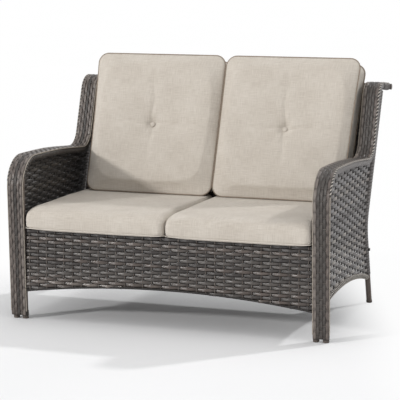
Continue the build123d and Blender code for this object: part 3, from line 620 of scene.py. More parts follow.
# %% [markdown]
# ## Front apron
#
# The apron closes the front below the cushions and ends in a shallow arch. Its strands lie flat and level,
# 13 mm apart, and pass over and under upright stakes 36 mm apart. They are a little wider than their pitch
# and rise steeply, so each shows as a closed row of bricks. Where a row meets the arch it splits into a
# left and a right part.

# %% Weave of the apron
apron_y = front_y - 0.0140
apron_end, apron_crest = 0.111, 0.152
row_pitch, stake_pitch = 0.013, 0.036
stake_count = 32
outer_stake = (stake_count - 1) / 2 * stake_pitch
top_row = seat_height - 0.0068
edge_clear = 0.004
arch_drop = apron_crest - apron_end
arch_radius = (bay_half ** 2 + arch_drop ** 2) / (2 * arch_drop)


def arch_height(x):
    """Height of the apron's lower edge."""
    return apron_crest - arch_radius + sqrt(max(arch_radius ** 2 - x * x, 0))


def arch_half(z):
    """Half width of the opening under the arch at a height."""
    below = apron_crest - z
    return sqrt(max(arch_radius ** 2 - (arch_radius - below) ** 2, 0)) if below > 0 else 0.0


apron_guide = guide_surface(np.linspace(-0.62, 0.62, 3).tolist(), [0.06, 0.22, 0.40],
                            lambda a, b: (a, apron_y, b), lambda a, b: (0, -1, 0))
rows = []
for number in range(18):
    height = top_row - number * row_pitch
    hole = arch_half(height - edge_clear)
    if height > apron_crest + edge_clear:
        rows.append((-bay_half, bay_half, height, number % 2))
    elif hole < bay_half - 0.02:
        rows += [(-bay_half, -hole, height, number % 2), (hole, bay_half, height, number % 2)]
stakes = []
for number in range(stake_count):
    x = number * stake_pitch - outer_stake
    stakes.append((arch_height(x) + 0.002, seat_height - 0.001, x, (number + 1) % 2))
row_mesh = woven(apron_guide, rows, 3, front_resin, stake_pitch, start=-outer_stake, width=0.0137,
                 thickness=0.0013, wave=0.0034, segment=0.006)
stake_mesh = woven(apron_guide, stakes, 4, front_resin, row_pitch, start=top_row, width=0.0046,
                   thickness=0.0028, wave=0.0008, segment=0.0065, swapped=True, shades=(0.6, 1.0))
apron = dress(joined("apron_strands", [row_mesh, stake_mesh]), "frame", "resin_weave", "apron_weave")
discard(apron_guide)

# %% [markdown]
# ## Side panels
#
# Each side is closed by a heavier weave of the same kind, in lighter resin, that lets only a little
# daylight through. The stakes fan out from the straight front leg to the leaning stile, so the bricks grow
# longer towards the top. The panel's outline is the arm's line and the stile's line, each moved in by the
# tube, and the arched rail below. Each level strand runs between the places where that outline crosses its
# height.

# %% Outline of the side panels
side_rail = [(-leg_bow * 0.160 / arm_rise, 0.160), (0.300, 0.172), (0.6865, 0.112)]
inset = tube_r + 0.0003


def through_three(start, middle, end, count=40):
    """Points of the arc through three points."""
    a, b, c = Vector(start), Vector(middle), Vector(end)
    double = 2 * (a.x * (b.y - c.y) + b.x * (c.y - a.y) + c.x * (a.y - b.y))
    across = a.length_squared * (b.y - c.y) + b.length_squared * (c.y - a.y) + c.length_squared * (a.y - b.y)
    up = a.length_squared * (c.x - b.x) + b.length_squared * (a.x - c.x) + c.length_squared * (b.x - a.x)
    centre = Vector((across, up)) / double
    first, last = a - centre, c - centre
    sweep = first.angle(last)
    return [centre + (first * sin((1 - t) * sweep) + last * sin(t * sweep)) / sin(sweep)
            for t in (n / count for n in range(count + 1))]


rail_line = through_three(*side_rail)
arm_inside = [point - way * inset for point, way in zip(arm_line, arm_out)]
stile_front = [point + way * inset for point, way in zip(stile_line, stile_out)]


def line_reach(line, height):
    """Reach of a rising line at a height."""
    return float(np.interp(height, [p.y for p in line], [p.x for p in line]))


panel_outline = [p for p in arm_inside if p.y > 0.150 and p.x < line_reach(stile_front, p.y)]
top_height = panel_outline[-1].y
panel_outline += [p for p in reversed(stile_front) if 0.120 < p.y < top_height]
panel_outline += [p for p in reversed(rail_line)]
print("panel outline", len(panel_outline), "points, top at", round(top_height, 3))


def crossings(outline, height):
    """Where a level line crosses a closed outline, in pairs."""
    found = []
    for a, b in zip(outline, outline[1:] + outline[:1]):
        if (a.y - height) * (b.y - height) < 0:
            found.append(a.x + (b.x - a.x) * (height - a.y) / (b.y - a.y))
    found.sort()
    return list(zip(found[::2], found[1::2]))


# %% Weave of the side panels
panel_width = 0.620
leg_slope = 0.0356


def fan(share, height):
    """Reach of a place across the panel's fan of stakes, at a height."""
    start = -leg_slope * height
    return start + (line_reach(stile_line, height) - start) * share / panel_width


def fan_share(reach, height):
    """Place across the fan for a reach at a height."""
    start = -leg_slope * height
    return (reach - start) / (line_reach(stile_line, height) - start) * panel_width


side_pitch, side_stakes = 0.0132, 15
side_stake_pitch = panel_width / side_stakes
side_rows = []
for number in range(60):
    height = 0.122 + number * side_pitch
    for start, end in crossings(panel_outline, height):
        if end - start > 0.012:
            side_rows.append((fan_share(start, height) - 0.004, fan_share(end, height) + 0.004, height,
                              number % 2))
fan_outline = [Vector((p.y, fan_share(p.x, p.y))) for p in panel_outline]
side_columns = []
for number in range(1, side_stakes + 1):
    place = (number - 0.5) * side_stake_pitch
    for low, high in crossings(fan_outline, place):
        if high - low > 0.02:
            side_columns.append((low - 0.003, high + 0.003, place, (number + 1) % 2))
side_seeds = {"left": 11, "right": 21}
for name, side in sides.items():
    guide = guide_surface(np.linspace(-0.03, panel_width + 0.05, 24).tolist(),
                          np.linspace(0.08, 0.872, 60).tolist(), lambda a, b: panel_face(side, fan(a, b), b),
                          lambda a, b: (side, side * panel_taper, -outer_lean))
    row_mesh = woven(guide, side_rows, side_seeds[name], side_resin, side_stake_pitch,
                     start=side_stake_pitch / 2, width=0.0147, thickness=0.0015, wave=0.0034, segment=0.0069)
    stake_mesh = woven(guide, side_columns, side_seeds[name] + 1, side_resin, side_pitch, start=0.122,
                       width=0.0056,
                       thickness=0.0034, wave=0.0010, segment=0.0066, swapped=True, shades=(0.6, 1.0))
    dress(joined(f"{name}_side_strands", [row_mesh, stake_mesh]), "frame", "resin_weave",
          f"{name}_side_panel_weave")
    discard(guide)

# %% [markdown]
# ## Arm bands
#
# A 60 mm band covers the pair of tubes that makes each leg, arm and wing. Its five strips run along the
# arm and cross thin ties every 20 mm, which show as short dashes, darkened in part by painted shade in the
# dips. The guide is the arm's line moved out by the tube, as wide as the band.

# %% Weave of the arm bands
band_lift, band_start, band_end = 0.0138, 0.014, arm_length[-1]
band_strips, band_width, band_centre = 5, 0.060, 0.607
strip_pitch, tie_pitch = band_width / band_strips, 0.0200
first_tie = band_start + tie_pitch / 2


def on_arm(distance):
    """Place on the band at a distance along the arm, and the way out there."""
    return off_line(arm_line, arm_length, arm_out, distance, band_lift)


strips = [(band_start, band_end, (number - 2) * strip_pitch, number % 2) for number in range(band_strips)]
ties = [(-band_width / 2, band_width / 2, first_tie + number * tie_pitch, number % 2)
        for number in range(int((band_end - band_start) / tie_pitch))]
for name, side in sides.items():
    guide = guide_surface(arm_length, [-0.034, 0.034], lambda a, b: (side * (band_centre + b), *on_arm(a)[0]),
                          lambda a, b: (0, *on_arm(a)[1]))
    strip_mesh = woven(guide, strips, side_seeds[name] + 30, band_resin, tie_pitch, start=first_tie,
                       width=0.0128, wave=0.0013, segment=0.005)
    tie_mesh = woven(guide, ties, side_seeds[name] + 40, band_resin, strip_pitch, start=0.0, width=0.0030,
                     thickness=0.0020, wave=0.0008, segment=0.003, swapped=True, shades=(0.5, 1.0))
    dress(joined(f"{name}_arm_strands", [strip_mesh, tie_mesh]), "frame", "resin_weave",
          f"{name}_arm_band_weave")
    discard(guide)

# %% [markdown]
# ## Back and deck
#
# The back's skin rises behind the cushions, reaches out to the stiles and rolls over to the rear between
# the arms' tubes. The deck lies under the seat cushions. Both are the apron's plain weave on other guides.

# %% Weave of the back
back_corners = [(0.6388, 0.235), waist, (0.7943, 0.8795), (0.865, 0.872)]
back_line, back_length = evenly(rounded(back_corners, [0.150, 0.045]))
back_out = outward(back_line)
back_lift, first_row, roll_start = 0.0068, 0.007, 0.85
stile_gap = 0.014


def on_back(distance):
    """Place on the back's skin at a distance up its line, and the way out there."""
    return off_line(back_line, back_length, back_out, distance, back_lift)


back_guide = guide_surface([-0.62, 0.0, 0.62], back_length, lambda a, b: (a, *on_back(b)[0]),
                           lambda a, b: (0, *on_back(b)[1]))
back_rows = []
for number in range(int((back_length[-1] - 0.01) / row_pitch)):
    up = first_row + number * row_pitch
    height = on_back(up)[0][1]
    half = stile_foot_x + stile_spread * height - stile_gap if height < roll_start else bay_half
    back_rows.append((-half, half, up, number % 2))
back_stakes = [(0.0, back_length[-1], number * stake_pitch - outer_stake, (number + 1) % 2)
               for number in range(stake_count)]
row_mesh = woven(back_guide, back_rows, 51, back_resin, stake_pitch, start=-outer_stake, width=0.0140,
                 wave=0.0012, segment=0.0085)
stake_mesh = woven(back_guide, back_stakes, 52, back_resin, row_pitch, start=first_row, width=0.0045,
                   thickness=0.0022, wave=0.0005, segment=0.0065, swapped=True, shades=(0.5, 1.0))
dress(joined("back_strands", [row_mesh, stake_mesh]), "frame", "resin_weave", "back_panel_weave")
discard(back_guide)

# %% Weave of the deck
deck_guide = guide_surface([-0.6, 0.0, 0.6], [-0.03, 0.3, 0.6],
                           lambda a, b: (a, front_y + b, 0.3524), lambda a, b: (0, 0, 1))
deck_row = -0.0045
deck_rows = [(-bay_half, bay_half, deck_row + number * row_pitch, number % 2) for number in range(45)]
deck_stakes = [(-0.011, 0.583, number * stake_pitch - outer_stake, (number + 1) % 2)
               for number in range(stake_count)]
row_mesh = woven(deck_guide, deck_rows, 61, back_resin, stake_pitch, start=-outer_stake, width=0.0118,
                 thickness=0.0011, wave=0.0008, segment=0.012)
stake_mesh = woven(deck_guide, deck_stakes, 62, back_resin, row_pitch, start=deck_row, width=0.0045,
                   thickness=0.0012, wave=0.0005, segment=0.0065, swapped=True, shades=(0.4, 0.9))
dress(joined("deck_strands", [row_mesh, stake_mesh]), "frame", "resin_weave", "seat_deck_weave")
discard(deck_guide)

# %% [markdown]
# ## Tube skins
#
# The arm tubes and the stiles are covered lengthwise by narrow resin strips, which read as fine brown
# grain with shallow grooves. The tree sweeps a lobed ring along the tube's line. It keeps the distance
# along the line and the place on the ring as a named value, so the grain runs along every bend.

# %% Tube skin tree
tree, given = new_tree("Tube skin", [("Radius", "Float", 0.011), ("Strips", "Int", 9),
                                     ("Groove", "Float", 0.0006),
                                     ("Round", "Int", 54), ("Material", "Material", None)])
line = put(tree, "GeometryNodeMeshToCurve", {"Mesh": given["Geometry"]}).outputs[0]
line = store(tree, line, "run", put(tree, "GeometryNodeSplineParameter").outputs["Length"])
ring = put(tree, "GeometryNodeCurvePrimitiveCircle", {"Resolution": given["Round"], "Radius": 1.0}).outputs[0]
turn = reckon(tree, "MULTIPLY", put(tree, "GeometryNodeSplineParameter").outputs["Factor"], 2 * pi)
lobe = reckon(tree, "ABSOLUTE", reckon(tree, "SINE", reckon(tree, "MULTIPLY", turn,
                                                            reckon(tree, "MULTIPLY", given["Strips"], 0.5))))
lobe = reckon(tree, "POWER", lobe, 0.35)
size = reckon(tree, "MULTIPLY_ADD", reckon(tree, "SUBTRACT", lobe, 1.0), given["Groove"], given["Radius"])
ring = store(tree, ring, "lobe", lobe)
ring = store(tree, ring, "ring", join(tree, reckon(tree, "COSINE", turn), reckon(tree, "SINE", turn)),
             "FLOAT_VECTOR")
place = put(tree, "ShaderNodeVectorMath", {0: put(tree, "GeometryNodeInputPosition").outputs[0],
                                           "Scale": size},
            operation="SCALE").outputs[0]
ring = put(tree, "GeometryNodeSetPosition", {"Geometry": ring, "Position": place}).outputs[0]
skin = put(tree, "GeometryNodeCurveToMesh", {"Curve": line, "Profile Curve": ring,
                                             "Fill Caps": True}).outputs[0]
end_tree(tree, skin, given["Material"])
tube_skin = tree

# %% Tube materials
tube_resin, tree, shader = finish_of("tube_resin", 0.45)
run = put(tree, "ShaderNodeAttribute", attribute_name="run").outputs["Fac"]
lobe = put(tree, "ShaderNodeAttribute", attribute_name="lobe").outputs["Fac"]
ring = split(tree, put(tree, "ShaderNodeAttribute", attribute_name="ring").outputs["Vector"])
grain_at = join(tree, reckon(tree, "MULTIPLY", ring[0], 3.0), reckon(tree, "MULTIPLY", ring[1], 3.0),
                reckon(tree, "MULTIPLY", run, 7.0))
grain = put(tree, "ShaderNodeTexNoise", {"Vector": grain_at, "Scale": 1.6, "Detail": 6.0,
                                         "Roughness": 0.7}).outputs[0]
tone = reckon(tree, "MULTIPLY_ADD", reckon(tree, "SUBTRACT", lobe, 0.8), 0.35, grain)
tree.links.new(ramp(tree, tone, (0.25, screen(58, 50, 46)), (0.45, screen(86, 76, 70)),
                    (0.60, screen(104, 92, 84)), (0.78, screen(134, 122, 112))), shader.inputs["Base Color"])
tree.links.new(relief(tree, grain, 0.0005), shader.inputs["Normal"])

# %% Skins of the arm tubes and stiles
def line_mesh(points, closed=False):
    """A plan that is one line, open or closed."""
    mesh = bpy.data.meshes.new("line")
    count = len(points)
    links = [(n, (n + 1) % count) for n in range(count if closed else count - 1)]
    mesh.from_pydata([tuple(p) for p in points], links, [])
    return scratch(mesh)


def skinned(name, points, radius, strips, groove, material, round_points=54, closed=False):
    """A skinned tube along a line."""
    plan = line_mesh(points, closed)
    mesh = grown(plan, tube_skin, {"Radius": radius, "Strips": strips, "Groove": groove,
                                   "Round": round_points, "Material": material})
    discard(plan)
    return joined(name, [mesh])


cap_top = 0.0103
arm_cut = cut_line(arm_line, arm_length, cap_top, arm_length[-1] - tube_r)
stile_cut = cut_line(stile_line, stile_length, cap_top, stile_length[-1] - 0.016)
tubes = {"arm_outer_tube": (outer_tube, arm_cut), "arm_inner_tube": (inner_tube, arm_cut),
         "back_stile": (stile, stile_cut)}
for name, side in sides.items():
    for part, (place, cut) in tubes.items():
        skin = skinned(f"{name}_{part}_skin", [place(side, *p) for p in cut], tube_r, 9, 0.0006, tube_resin)
        dress(skin, "frame", "wrapped_tube", f"{name}_{part}")

# %% [markdown]
# ## Wound edges
#
# The arched rails are wound with dark strand, and a light strand spirals round them in wide turns, which
# shows as the row of slanting dashes under each side panel; that strand is a real winding, and its pale
# colour is also a painted highlight on the rail's wrap. The short end rails, the arm tubes from the
# bend at the top of the leg, the stiles and the feet are wound closely with wider strand, which softens
# their edges. Winding could be painted on as stripes, but it stands out against the light floor. The tree
# turns a flat strand into a helix round a line, with its pitch as a size. The same tree, with other sizes,
# makes the binding under the apron.

# %% Wound strand tree
tree, given = new_tree("Wound strand", [
    ("Radius", "Float", 0.008), ("Width", "Float", 0.007), ("Thickness", "Float", 0.0014),
    ("Pitch", "Float", 0.008),
    ("Start", "Float", 0.0), ("Steps a turn", "Float", 12.0), ("Shade", "Float", 0.5),
    ("Material", "Material", None)])
line = put(tree, "GeometryNodeMeshToCurve", {"Mesh": given["Geometry"]}).outputs[0]
length = put(tree, "GeometryNodeCurveLength", {"Curve": line}).outputs[0]
turns = reckon(tree, "DIVIDE", length, given["Pitch"])
strand = put(tree, "GeometryNodeMeshCylinder", {"Vertices": 6, "Side Segments": reckon(
    tree, "MULTIPLY", turns, given["Steps a turn"]), "Radius": 1.0, "Depth": 1.0}).outputs[0]
x, y, z = split(tree, put(tree, "GeometryNodeInputPosition").outputs[0])
share = reckon(tree, "ADD", z, 0.5)
angle = reckon(tree, "MULTIPLY_ADD", reckon(tree, "MULTIPLY", turns, share), 2 * pi, given["Start"])
run = reckon(tree, "MULTIPLY_ADD", x, reckon(tree, "MULTIPLY", given["Width"], 0.5),
             reckon(tree, "MULTIPLY", length, share))
spot = put(tree, "GeometryNodeSampleCurve", {"Curves": line, "Length": run}, mode="LENGTH")
sideways = reckon(tree, "CROSS_PRODUCT", spot.outputs["Tangent"], spot.outputs["Normal"],
                  kind="ShaderNodeVectorMath")
reach = reckon(tree, "MULTIPLY_ADD", y, reckon(tree, "MULTIPLY", given["Thickness"], 0.577), given["Radius"])
one_way = put(tree, "ShaderNodeVectorMath", {0: spot.outputs["Normal"], "Scale": reckon(
    tree, "MULTIPLY", reckon(tree, "COSINE", angle), reach)}, operation="SCALE").outputs[0]
other_way = put(tree, "ShaderNodeVectorMath", {0: sideways, "Scale": reckon(
    tree, "MULTIPLY", reckon(tree, "SINE", angle), reach)}, operation="SCALE").outputs[0]
laid = reckon(tree, "ADD", spot.outputs["Position"], reckon(tree, "ADD", one_way, other_way,
                                                            kind="ShaderNodeVectorMath"),
              kind="ShaderNodeVectorMath")
strand = store(tree, strand, "strand", join(tree, reckon(tree, "MULTIPLY", angle, given["Radius"]), x),
               "FLOAT2", "CORNER")
strand = store(tree, strand, "shade", given["Shade"])
strand = put(tree, "GeometryNodeSetPosition", {"Geometry": strand, "Position": laid}).outputs[0]
end_tree(tree, strand, given["Material"])
winding = tree


def wound(points, radius, width, pitch, material, thickness=0.0014, start=0.0, steps=12.0, shade=0.5):
    """A strand wound round a line."""
    plan = line_mesh(points)
    mesh = grown(plan, winding, {"Radius": radius, "Width": width, "Thickness": thickness, "Pitch": pitch,
                                 "Start": start, "Steps a turn": steps, "Shade": shade, "Material": material})
    discard(plan)
    return mesh


# %% Wound rails
side_line, side_length = evenly(rail_line, 0.006)
side_cut = cut_line(side_line, side_length, 0.012, side_length[-1] - 0.013)
for name, side in sides.items():
    points = [panel_face(side, *p) for p in side_cut]
    dark = wound(points, 0.0082, 0.0078, 0.0075, dark_resin)
    # The light strand is a real second winding, and its pale colour also serves as a painted highlight on the
    # wrap
    light = wound(points, 0.0096, 0.0042, 0.0165, light_resin, thickness=0.0018, steps=20, shade=0.9)
    dress(joined(f"{name}_side_rail_winding", [dark, light]), "frame", "wrapped_tube")
    low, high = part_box(f"{name}_arm_end_rail")
    rail_r = (high[2] - low[2]) / 2
    middle = Vector((0, (low[1] + high[1]) / 2, (low[2] + high[2]) / 2))
    ends = [middle + Vector((x, 0, 0)) for x in np.linspace(low[0] + 0.002, high[0] - 0.002, 9).tolist()]
    wrap = wound(ends, rail_r + 0.0007, 0.0068, 0.0066, band_resin, shade=0.3)
    dress(joined(f"{name}_end_rail_winding", [wrap]), "frame", "wrapped_tube")
    print(f"{name} end rail radius", round(rail_r, 4), "from", round(low[0], 3), "to", round(high[0], 3))

# %% Wound arm tubes, stiles and feet
arm_top_cut = cut_line(arm_line, arm_length, 0.545, arm_length[-1] - 0.012)
roll_cut = cut_line(arm_line, arm_length, arm_length[-1] - 0.105, arm_length[-1] - 0.006)
stile_top_cut = cut_line(stile_line, stile_length, 0.135, stile_length[-1] - 0.018)
foot_cut = [(-leg_bow * z / arm_rise, z) for z in np.linspace(0.011, 0.032, 5).tolist()]
wide, fine = (0.0130, 0.0132), (0.0052, 0.0050)
# The inner arm tube's winding is darker than the outer's, band strand with a low shade value; this is partly
# painted shade for the arm's inside
coverings = [(outer_tube, arm_top_cut, 0.0009, wide, side_resin, 0.0014, 0.35),
             (inner_tube, arm_top_cut, 0.0009, wide, band_resin, 0.0014, 0.15),
             (stile, stile_top_cut, 0.0009, wide, side_resin, 0.0014, 0.3),
             (outer_tube, roll_cut, 0.0030, wide, band_resin, 0.0022, 0.45),
             (outer_tube, foot_cut, 0.0012, fine, band_resin, 0.0014, 0.25),
             (inner_tube, foot_cut, 0.0012, fine, band_resin, 0.0014, 0.25)]
for name, side in sides.items():
    wraps = [wound([place(side, *p) for p in cut], tube_r + lift, *width_and_pitch, resin, thickness,
                   steps=20,
                   shade=shade) for place, cut, lift, width_and_pitch, resin, thickness, shade in coverings]
    dress(joined(f"{name}_tube_winding", wraps), "frame", "wrapped_tube")

# %% Binding of the apron edge
arch_points = [(x, apron_y + 0.001, arch_height(x) + 0.002) for x in np.linspace(-bay_half, bay_half,
                                                                                 90).tolist()]
binding = wound(arch_points, 0.0036, 0.0062, 0.006, dark_resin, thickness=0.0016, steps=10)
dress(joined("apron_edge_binding", [binding]), "frame", "resin_weave")

# %% [markdown]
# ## Edge cords
#
# A thin light cord runs along both edges of each arm band. It is the tube skin again, with a small radius
# and no grooves to speak of. Along the top of the arm and the wing the outer edge is bound instead: a light
# and a dark strand wind round each other, which reads as a row of dashes.

# %% Cords along the bands
def cord_material(name, dark, light, roughness=0.6, twist=900.0):
    """A thin round cord with slanting threads, on the measures that the tube skin keeps."""
    material, tree, shader = finish_of(name, roughness)
    run = put(tree, "ShaderNodeAttribute", attribute_name="run").outputs["Fac"]
    ring = split(tree, put(tree, "ShaderNodeAttribute", attribute_name="ring").outputs["Vector"])
    around = reckon(tree, "ARCTAN2", ring[1], ring[0])
    slant = reckon(tree, "SINE", reckon(tree, "MULTIPLY_ADD", run, twist * 2,
                                        reckon(tree, "MULTIPLY", around, 3.0)))
    speck = put(tree, "ShaderNodeTexNoise", {"Vector": join(tree, reckon(tree, "MULTIPLY", run, 60.0),
                                                            ring[0], ring[1]),
                                             "Scale": 1.0, "Detail": 3.0}).outputs[0]
    tone = reckon(tree, "MULTIPLY_ADD", slant, 0.08, speck)
    tree.links.new(ramp(tree, tone, (0.3, dark), (0.7, light)), shader.inputs["Base Color"])
    tree.links.new(relief(tree, tone, 0.0004), shader.inputs["Normal"])
    return material


light_cord = cord_material("light_cord", screen(128, 119, 108), screen(176, 167, 155), 0.5)
cord_cut = cut_line(arm_line, arm_length, 0.030, arm_length[-1] - 0.004)
cord_out = outward([Vector(p) for p in cord_cut])
rope_start = next(number for number, (r, z) in enumerate(cord_cut) if z > 0.53)
cord_lift, edge_places = 0.0125, (("inner", 0.5750), ("outer", 0.6390))
for name, side in sides.items():
    edges = {edge: [(side * x, front_y + r + way.x * cord_lift, z + way.y * cord_lift)
                    for (r, z), way in zip(cord_cut, cord_out)] for edge, x in edge_places}
    dress(skinned(f"{name}_inner_edge_cord", edges["inner"], 0.0018, 6, 0.0002, light_cord, 12), "frame",
          "resin_weave")
    bound = edges["outer"][rope_start:]
    light = wound(bound, 0.0025, 0.0066, 0.0150, light_resin, thickness=0.0018, steps=10, shade=0.8)
    dark = wound(bound, 0.0023, 0.0080, 0.0150, dark_resin, thickness=0.0016, start=pi, steps=10, shade=0.1)
    dress(skinned(f"{name}_outer_edge_cord", edges["outer"][:rope_start + 1], 0.0015, 6, 0.0002, light_cord,
                  12),
          "frame", "resin_weave")
    dress(joined(f"{name}_outer_edge_binding", [light, dark]), "frame", "resin_weave")

# %% [markdown]
# ## Fabric
#
# The covers are a heathered plain weave: light oatmeal with thicker and thinner threads, which read as
# faint level and upright lines. The group mixes a fine thread pattern with two long slub noises, one along
# each thread direction, over a UV map in metres that every cushion carries.

# %% Linen group and materials
group, given, wanted = new_group("Linen threads", [("Along", 0), ("Up", 0), ("Threads a metre", 900.0)],
                                 ["Tone", "Height"])


def thread(first, second):
    """Height of the threads that run along the first measure."""
    wobble = put(group, "ShaderNodeTexNoise", {"Vector": join(group, reckon(group, "MULTIPLY", first, 25.0),
                                                              reckon(group, "MULTIPLY", second, 420.0)),
                                               "Scale": 1.0, "Detail": 2.0}).outputs[0]
    wave = reckon(group, "SINE", reckon(group, "MULTIPLY",
                                        reckon(group, "MULTIPLY", second, given["Threads a metre"]), 2 * pi))
    return wobble, wave


level_slub, level_wave = thread(given["Along"], given["Up"])
upright_slub, upright_wave = thread(given["Up"], given["Along"])
heather = put(group, "ShaderNodeTexNoise", {"Vector": join(group, given["Along"], given["Up"]), "Scale": 9.0,
                                            "Detail": 3.0}).outputs[0]
tone = reckon(group, "ADD", reckon(group, "MULTIPLY", level_slub, 0.5),
              reckon(group, "MULTIPLY", upright_slub, 0.5))
tone = reckon(group, "MULTIPLY_ADD", reckon(group, "SUBTRACT", heather, 0.5), 0.35, tone)
crossed = reckon(group, "MULTIPLY", level_wave, upright_wave)
group.links.new(reckon(group, "MULTIPLY_ADD", crossed, 0.02, tone), wanted["Tone"])
group.links.new(reckon(group, "MULTIPLY_ADD", crossed, 0.3, tone), wanted["Height"])
linen_threads = group


def fabric_material(name, *stops, relief_depth=0.0006):
    """A cloth whose threads follow the piece's cloth map."""
    material, tree, shader = finish_of(name, 0.9, Sheen_Weight=0.15, Sheen_Roughness=0.5,
                                       Specular_IOR_Level=0.25)
    measure = split(tree, put(tree, "ShaderNodeUVMap", uv_map="cloth").outputs[0])
    cloth = put(tree, "ShaderNodeGroup", {"Along": measure[0], "Up": measure[1]}, node_tree=linen_threads)
    tree.links.new(ramp(tree, cloth.outputs["Tone"], *stops), shader.inputs["Base Color"])
    tree.links.new(relief(tree, cloth.outputs["Height"], relief_depth), shader.inputs["Normal"])
    return material


oatmeal = fabric_material("oatmeal_linen", (0.25, screen(180, 170, 159)), (0.5, screen(198, 190, 179)),
                          (0.75, screen(213, 206, 197)))

# %% [markdown]
# ## Cushion forms
#
# A cushion starts as a stack of rounded outlines whose sides draw in between the corners, a little smaller
# than the finished cushion. It could be sculpted whole from formulas, but air finds the even crown of a
# filled cover by itself. The stack is remeshed into even small squares and filled: a cloth simulation with
# inner pressure swells it as wadding would. Only the swelling square to the faces is kept whole, because
# the seams hold the edges, it is evened out over neighbours, and no point may move further than the cap.
# After that, code sews the tuft and the seams, which the remesh would have worn away.

# %% Outlines and stacks
def outline_points(half, low, high, corner, pulls, side_steps=14, corner_steps=8):
    """A closed rounded outline, whose low, right, high and left sides draw in by their pulls."""
    points = []
    low_pull, right_pull, high_pull, left_pull = pulls
    corners = [((half - corner, low + corner), -pi / 2), ((half - corner, high - corner), 0.0),
               ((-half + corner, high - corner), pi / 2), ((-half + corner, low + corner), pi)]
    shifts = [((0, 1), low_pull), ((-1, 0), right_pull), ((0, -1), high_pull), ((1, 0), left_pull)]
    for number, ((cx, cy), start) in enumerate(corners):
        arc = [(cx + corner * cos(start + pi / 2 * n / corner_steps),
                cy + corner * sin(start + pi / 2 * n / corner_steps))
               for n in range(corner_steps + 1)]
        (nx, ny), next_start = corners[(number + 1) % 4]
        first = arc[-1]
        last = (nx + corner * cos(next_start), ny + corner * sin(next_start))
        (dx, dy), pull = shifts[(number + 1) % 4]
        run = []
        for n in range(1, side_steps):
            t = n / side_steps
            draw = pull * (1 - (2 * t - 1) ** 2)
            run.append((first[0] + (last[0] - first[0]) * t + dx * draw,
                        first[1] + (last[1] - first[1]) * t + dy * draw))
        points += arc + run
    return points


def stack(rings, place):
    """A closed mesh through outlines at rising heights, set in the row frame by its plane."""
    made = bmesh.new()
    loops = [[made.verts.new(place(x, y, height)) for x, y in points] for height, points in rings]
    count = len(loops[0])
    for lower, upper in zip(loops, loops[1:]):
        for n in range(count):
            made.faces.new((lower[n], lower[(n + 1) % count], upper[(n + 1) % count], upper[n]))
    made.faces.new(list(reversed(loops[0])))
    made.faces.new(loops[-1])
    bmesh.ops.triangulate(made, faces=[f for f in made.faces if len(f.verts) > 4])
    bmesh.ops.recalc_face_normals(made, faces=made.faces)
    mesh = bpy.data.meshes.new("stack")
    made.to_mesh(mesh)
    made.free()
    return mesh


# %% Remesh, pressure and smoothing
def applied(piece):
    """Turn the piece's modifiers into its mesh."""
    mesh = bpy.data.meshes.new_from_object(piece.evaluated_get(bpy.context.evaluated_depsgraph_get()))
    piece.modifiers.clear()
    old, piece.data = piece.data, mesh
    bpy.data.meshes.remove(old)


def coordinates(mesh):
    values = np.empty(len(mesh.vertices) * 3)
    mesh.vertices.foreach_get("co", values)
    return values.reshape(-1, 3)


def set_coordinates(mesh, values):
    mesh.vertices.foreach_set("co", np.ascontiguousarray(values, dtype=np.float64).ravel())
    mesh.update()


swell_frames, sideways_share, even_steps = 20, 0.1, 90


def puffed(mesh, voxel, pressure, cap, way, soften):
    """A cushion form swollen by inner pressure, mostly along one way, no point moved further than the cap."""
    piece = scratch(mesh)
    remesh = piece.modifiers.new("even squares", "REMESH")
    remesh.mode, remesh.voxel_size = "VOXEL", voxel
    smooth = piece.modifiers.new("soften", "SMOOTH")
    smooth.factor, smooth.iterations = 0.5, soften
    applied(piece)
    cloth = piece.modifiers.new("air", "CLOTH")
    cloth.settings.use_pressure = True
    cloth.settings.uniform_pressure_force = pressure
    cloth.settings.effector_weights.gravity = 0.0
    cloth.point_cache.frame_start, cloth.point_cache.frame_end = 1, swell_frames
    rest = coordinates(piece.data)
    for number in range(1, swell_frames + 1):
        bpy.context.scene.frame_set(number)
    swollen = bpy.data.meshes.new_from_object(piece.evaluated_get(bpy.context.evaluated_depsgraph_get()))
    moved = coordinates(swollen) - rest
    square = (moved @ np.array(way))[:, None] * np.array(way)
    moved = square + sideways_share * (moved - square)
    ends = np.zeros(len(piece.data.edges) * 2, np.int32)
    piece.data.edges.foreach_get("vertices", ends)
    first, second = ends[::2], ends[1::2]
    shared = np.maximum(np.bincount(ends, minlength=len(rest)), 1)[:, None]
    for step in range(even_steps):
        total = np.zeros_like(moved)
        np.add.at(total, first, moved[second])
        np.add.at(total, second, moved[first])
        moved = total / shared
    piece.modifiers.clear()
    bpy.context.scene.frame_set(1)
    far = np.linalg.norm(moved, axis=1, keepdims=True)
    set_coordinates(piece.data, rest + moved * np.minimum(1.0, cap / np.maximum(far, 1e-9)))
    print("swelled by up to", round(float(far.max()) * 1000, 1), "mm, capped at", cap * 1000)
    finer = piece.modifiers.new("finer", "SUBSURF")
    finer.levels = finer.render_levels = 1
    applied(piece)
    return piece


def cloth_map(piece, to_own=Matrix.Identity(4)):
    """Give a cushion its cloth map in metres, from the side of its own box that each face looks to."""
    mesh = piece.data
    local = np.array([tuple(to_own @ v.co) for v in mesh.vertices])
    turn = to_own.to_3x3()
    layer = mesh.uv_layers.new(name="cloth")
    values = np.zeros(len(mesh.loops) * 2)
    for face in mesh.polygons:
        way = turn @ face.normal
        sizes = [abs(v) for v in way]
        pair = {0: (1, 2), 1: (0, 2), 2: (0, 1)}[sizes.index(max(sizes))]
        for loop in face.loop_indices:
            point = local[mesh.loops[loop].vertex_index]
            values[loop * 2], values[loop * 2 + 1] = point[pair[0]], point[pair[1]]
    layer.data.foreach_set("uv", values.astype(np.float32))
    mesh.shade_smooth()


